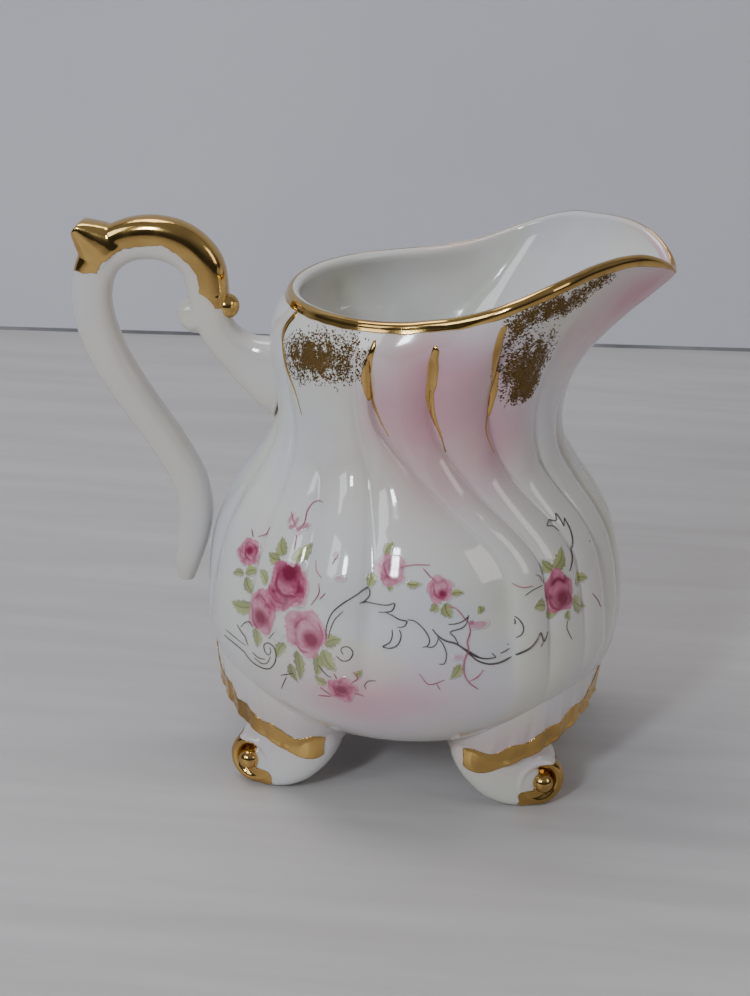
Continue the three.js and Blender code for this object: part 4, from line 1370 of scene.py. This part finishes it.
def fleckTree():
    # scatters flat gold flecks where the sponge pressed
    tree, inputs = growTree("spongeFlecks", [
        ("Sponged ground", "Geometry"), ("Crowding", "Float"), ("Fleck size", "Float"), ("Seed", "Int"),
        ("Fleck material", "Material")], "Flecks")
    given = addNode(tree, "NodeGroupInput").outputs
    density = mathStep(tree, "MULTIPLY", storedNumber(tree, "pressed"), given["Crowding"])
    scatter = addNode(tree, "GeometryNodeDistributePointsOnFaces")
    spread = addNode(tree, "FunctionNodeRandomValue", data_type="FLOAT_VECTOR")
    spread.inputs[0].default_value = neckGold["fleckLeast"]
    spread.inputs[1].default_value = neckGold["fleckMost"]
    sized = addNode(tree, "ShaderNodeVectorMath", operation="SCALE")
    blob = addNode(tree, "GeometryNodeMeshIcoSphere")
    blob.inputs["Radius"].default_value = 1
    place = addNode(tree, "GeometryNodeInstanceOnPoints")
    linkAll(tree, [
        (given["Sponged ground"], scatter.inputs["Mesh"]), (density, scatter.inputs["Density"]),
        (given["Seed"], scatter.inputs["Seed"]), (given["Seed"], spread.inputs["Seed"]),
        (spread.outputs[0], sized.inputs[0]), (given["Fleck size"], sized.inputs["Scale"]),
        (scatter.outputs["Points"], place.inputs["Points"]), (sized.outputs[0], place.inputs["Scale"]),
        (scatter.outputs["Rotation"], place.inputs["Rotation"]),
        (blob.outputs["Mesh"], place.inputs["Instance"])])
    finishTree(tree, place.outputs["Instances"], given["Fleck material"])
    return tree, inputs


def makeSponge(side, name, tree, inputs):
    points, faces, pressed = [], [], []
    start = 0
    for fromAngle, toAngle, low, high in neckGold["spongeGround"]:
        rows, columns = neckGold["groundRows"], neckGold["groundColumns"]
        zs, angles = patchGrid(fromAngle, toAngle, low, high, rows, columns)
        force = np.zeros(len(zs))
        for angle, height, across, up, crowd in neckGold["sponge"]:
            away = ((angles - angle) / across) ** 2 + ((zs - height) / up) ** 2
            force += crowd * np.maximum(np.exp(-away * 1.3) - 0.10, 0)
        cells = softNoise(np.column_stack([angles * 0.5, zs]), 2.4, 31)
        force = force * np.clip(0.75 + 0.55 * cells, 0.05, 2)
        new = vesselPoints(angles * side, zs, 0.03)
        points.append(new)
        faces += (np.array(gridFaces(rows, columns, False))[:, ::-side] + start).tolist()
        pressed.append(force)
        start += len(new)
    made = makeObject(name, np.concatenate(points), faces)
    storeValue(made.data, "pressed", np.concatenate(pressed))
    runTree(made, tree, inputs, {
        "Crowding": neckGold["crowding"] / mm ** 2, "Fleck size": neckGold["fleck"] * mm,
        "Seed": neckGold["seed"], "Fleck material": fleckGold})
    return placePiece(made, "gilding")


made = makeStreaks()
print("streaks", len(made.data.polygons))
flecks, fleckInputs = fleckTree()
for side, name in ((1, "spongeFront"), (-1, "spongeBack")):
    made = makeSponge(side, name, flecks, fleckInputs)
    print(name, len(made.data.polygons))


# camera, light and table

stageForm = {
    "distance": 400, "elevation": 22, "azimuth": 6, "roll": 1.7, "aimHeight": 50.7,
    "focal": 72.3, "shiftX": -0.0412, "shiftY": 0.012,
    "wallAway": 278.3, "wallSlant": 0.1063, "tableWidth": 1600, "tableGrain": (1, 11, 1),
    "jointShadowHeight": 1.3,  # painted shadow line where the wall meets the table
    "paneSize": (0.036, 0.045), "paneStep": (0.045, 0.055), "panePower": 0.30,
}


def makeCamera():
    form = stageForm
    azimuth, elevation = math.radians(form["azimuth"]), math.radians(form["elevation"])
    back = Vector((math.sin(azimuth) * math.cos(elevation), -math.cos(azimuth) * math.cos(elevation),
                   math.sin(elevation)))
    lens = bpy.data.cameras.new("viewpoint")
    lens.lens = form["focal"]
    lens.sensor_width = 36
    lens.shift_x = form["shiftX"]
    lens.shift_y = form["shiftY"]
    lens.clip_start = 0.01
    camera = bpy.data.objects.new("viewpoint", lens)
    bpy.context.scene.collection.objects.link(camera)
    aim = Vector((axisX, 0, form["aimHeight"])) * mm
    camera.location = aim + back * form["distance"] * mm
    camera.rotation_mode = "QUATERNION"
    facing = (-back).to_track_quat("-Z", "Y")
    camera.rotation_quaternion = facing @ Quaternion((0, 0, 1), math.radians(form["roll"]))
    bpy.context.scene.camera = camera


def plainMaterial(name, low, high, rough, stretch=(1, 1, 1)):
    material = makeMaterial(name)
    tree = material.node_tree
    shader = finishShader(material, {})
    place = addNode(tree, "ShaderNodeTexCoord").outputs["Object"]
    grain = addNode(tree, "ShaderNodeMapping")
    grain.inputs["Scale"].default_value = stretch
    tree.links.new(place, grain.inputs["Vector"])
    tone = rampBetween(tree, noiseValue(tree, grain.outputs[0], 9, 4), 0.3, 0.7)
    tree.links.new(mixColours(tree, tone, low, high), shader.inputs["Base Color"])
    shader.inputs["Roughness"].default_value = rough
    return material


def clearFromBehind(material):
    # lets the jug be looked at from the far side of the wall
    tree = material.node_tree
    mix = addNode(tree, "ShaderNodeMixShader")
    tree.links.new(addNode(tree, "ShaderNodeNewGeometry").outputs["Backfacing"], mix.inputs[0])
    tree.links.new(tree.nodes["Principled BSDF"].outputs[0], mix.inputs[1])
    tree.links.new(addNode(tree, "ShaderNodeBsdfTransparent").outputs[0], mix.inputs[2])
    tree.links.new(mix.outputs[0], tree.nodes["Material Output"].inputs["Surface"])


def makeStage():
    form = stageForm
    wide = form["tableWidth"]
    near, far = form["wallAway"] - form["wallSlant"] * wide, form["wallAway"] + form["wallSlant"] * wide
    tablePaint = plainMaterial(
        "paleTable", (0.52, 0.495, 0.49, 1), (0.59, 0.57, 0.565, 1), 0.42, form["tableGrain"])
    table = makeObject("table", [(-wide, -1200, 0), (wide, -1200, 0), (wide, far, 0), (-wide, near, 0)],
                       [[0, 1, 2, 3]], tablePaint)
    wallPaint = plainMaterial("paleWall", (0.68, 0.69, 0.76, 1), (0.72, 0.725, 0.78, 1), 0.8)
    clearFromBehind(wallPaint)
    wall = makeObject("wall", [(-wide, near, -5), (wide, far, -5), (wide, far, 1500), (-wide, near, 1500)],
                      [[0, 1, 2, 3]], wallPaint)
    # a dark strip at the foot of the wall: painted shadow line where it meets the table
    gap = form["jointShadowHeight"]
    jointShadowPaint = plainMaterial("jointShadow", (0.16, 0.16, 0.17, 1), (0.34, 0.34, 0.35, 1), 0.8, (4, 4, 4))
    clearFromBehind(jointShadowPaint)
    jointShadow = makeObject("wallJointShadow", [
        (-wide, near - 1, 0.05), (wide, far - 1, 0.05), (wide, far - 1, gap), (-wide, near - 1, gap)],
                       [[0, 1, 2, 3]], jointShadowPaint)


def addLight(name, place, aim, width, height, power, colour):
    lamp = bpy.data.lights.new(name, "AREA")
    lamp.shape = "RECTANGLE"
    lamp.size, lamp.size_y = width, height
    lamp.energy = power
    lamp.color = colour
    made = bpy.data.objects.new(name, lamp)
    bpy.context.scene.collection.objects.link(made)
    made.location = place
    made.rotation_mode = "QUATERNION"
    made.rotation_quaternion = (Vector(aim) - Vector(place)).to_track_quat("-Z", "Y")
    return made


def makeLights():
    aim = (0, 0, 0.05)
    addLight("overhead", (-0.25, 0.15, 0.95), aim, 0.50, 0.40, 3.5, (1.0, 0.98, 0.96))
    addLight("frontLeft", (-0.75, -0.75, 0.60), aim, 0.36, 0.46, 2.4, (0.88, 0.94, 1.0))
    addLight("right", (0.85, -0.35, 0.55), aim, 0.35, 0.45, 1.3, (1.0, 0.92, 0.80))
    stepX, stepZ = stageForm["paneStep"]
    for column in range(2):
        for row in range(3):
            place = (-0.24 + stepX * column, -0.60, 0.36 + stepZ * row)
            addLight("pane", place, aim, *stageForm["paneSize"], stageForm["panePower"], (0.86, 0.93, 1))
    world = bpy.data.worlds.new("softRoom")
    world.use_nodes = True
    tree = world.node_tree
    direction = addNode(tree, "ShaderNodeSeparateXYZ")
    tree.links.new(addNode(tree, "ShaderNodeTexCoord").outputs["Generated"], direction.inputs[0])
    height = rampBetween(tree, direction.outputs["Z"], 0.05, 0.75)
    back = tree.nodes["Background"]
    tree.links.new(mixColours(tree, height, (0.040, 0.042, 0.048, 1), (0.26, 0.27, 0.29, 1)), back.inputs[0])
    bpy.context.scene.world = world


makeCamera()
makeStage()
makeLights()
print("stage ready")
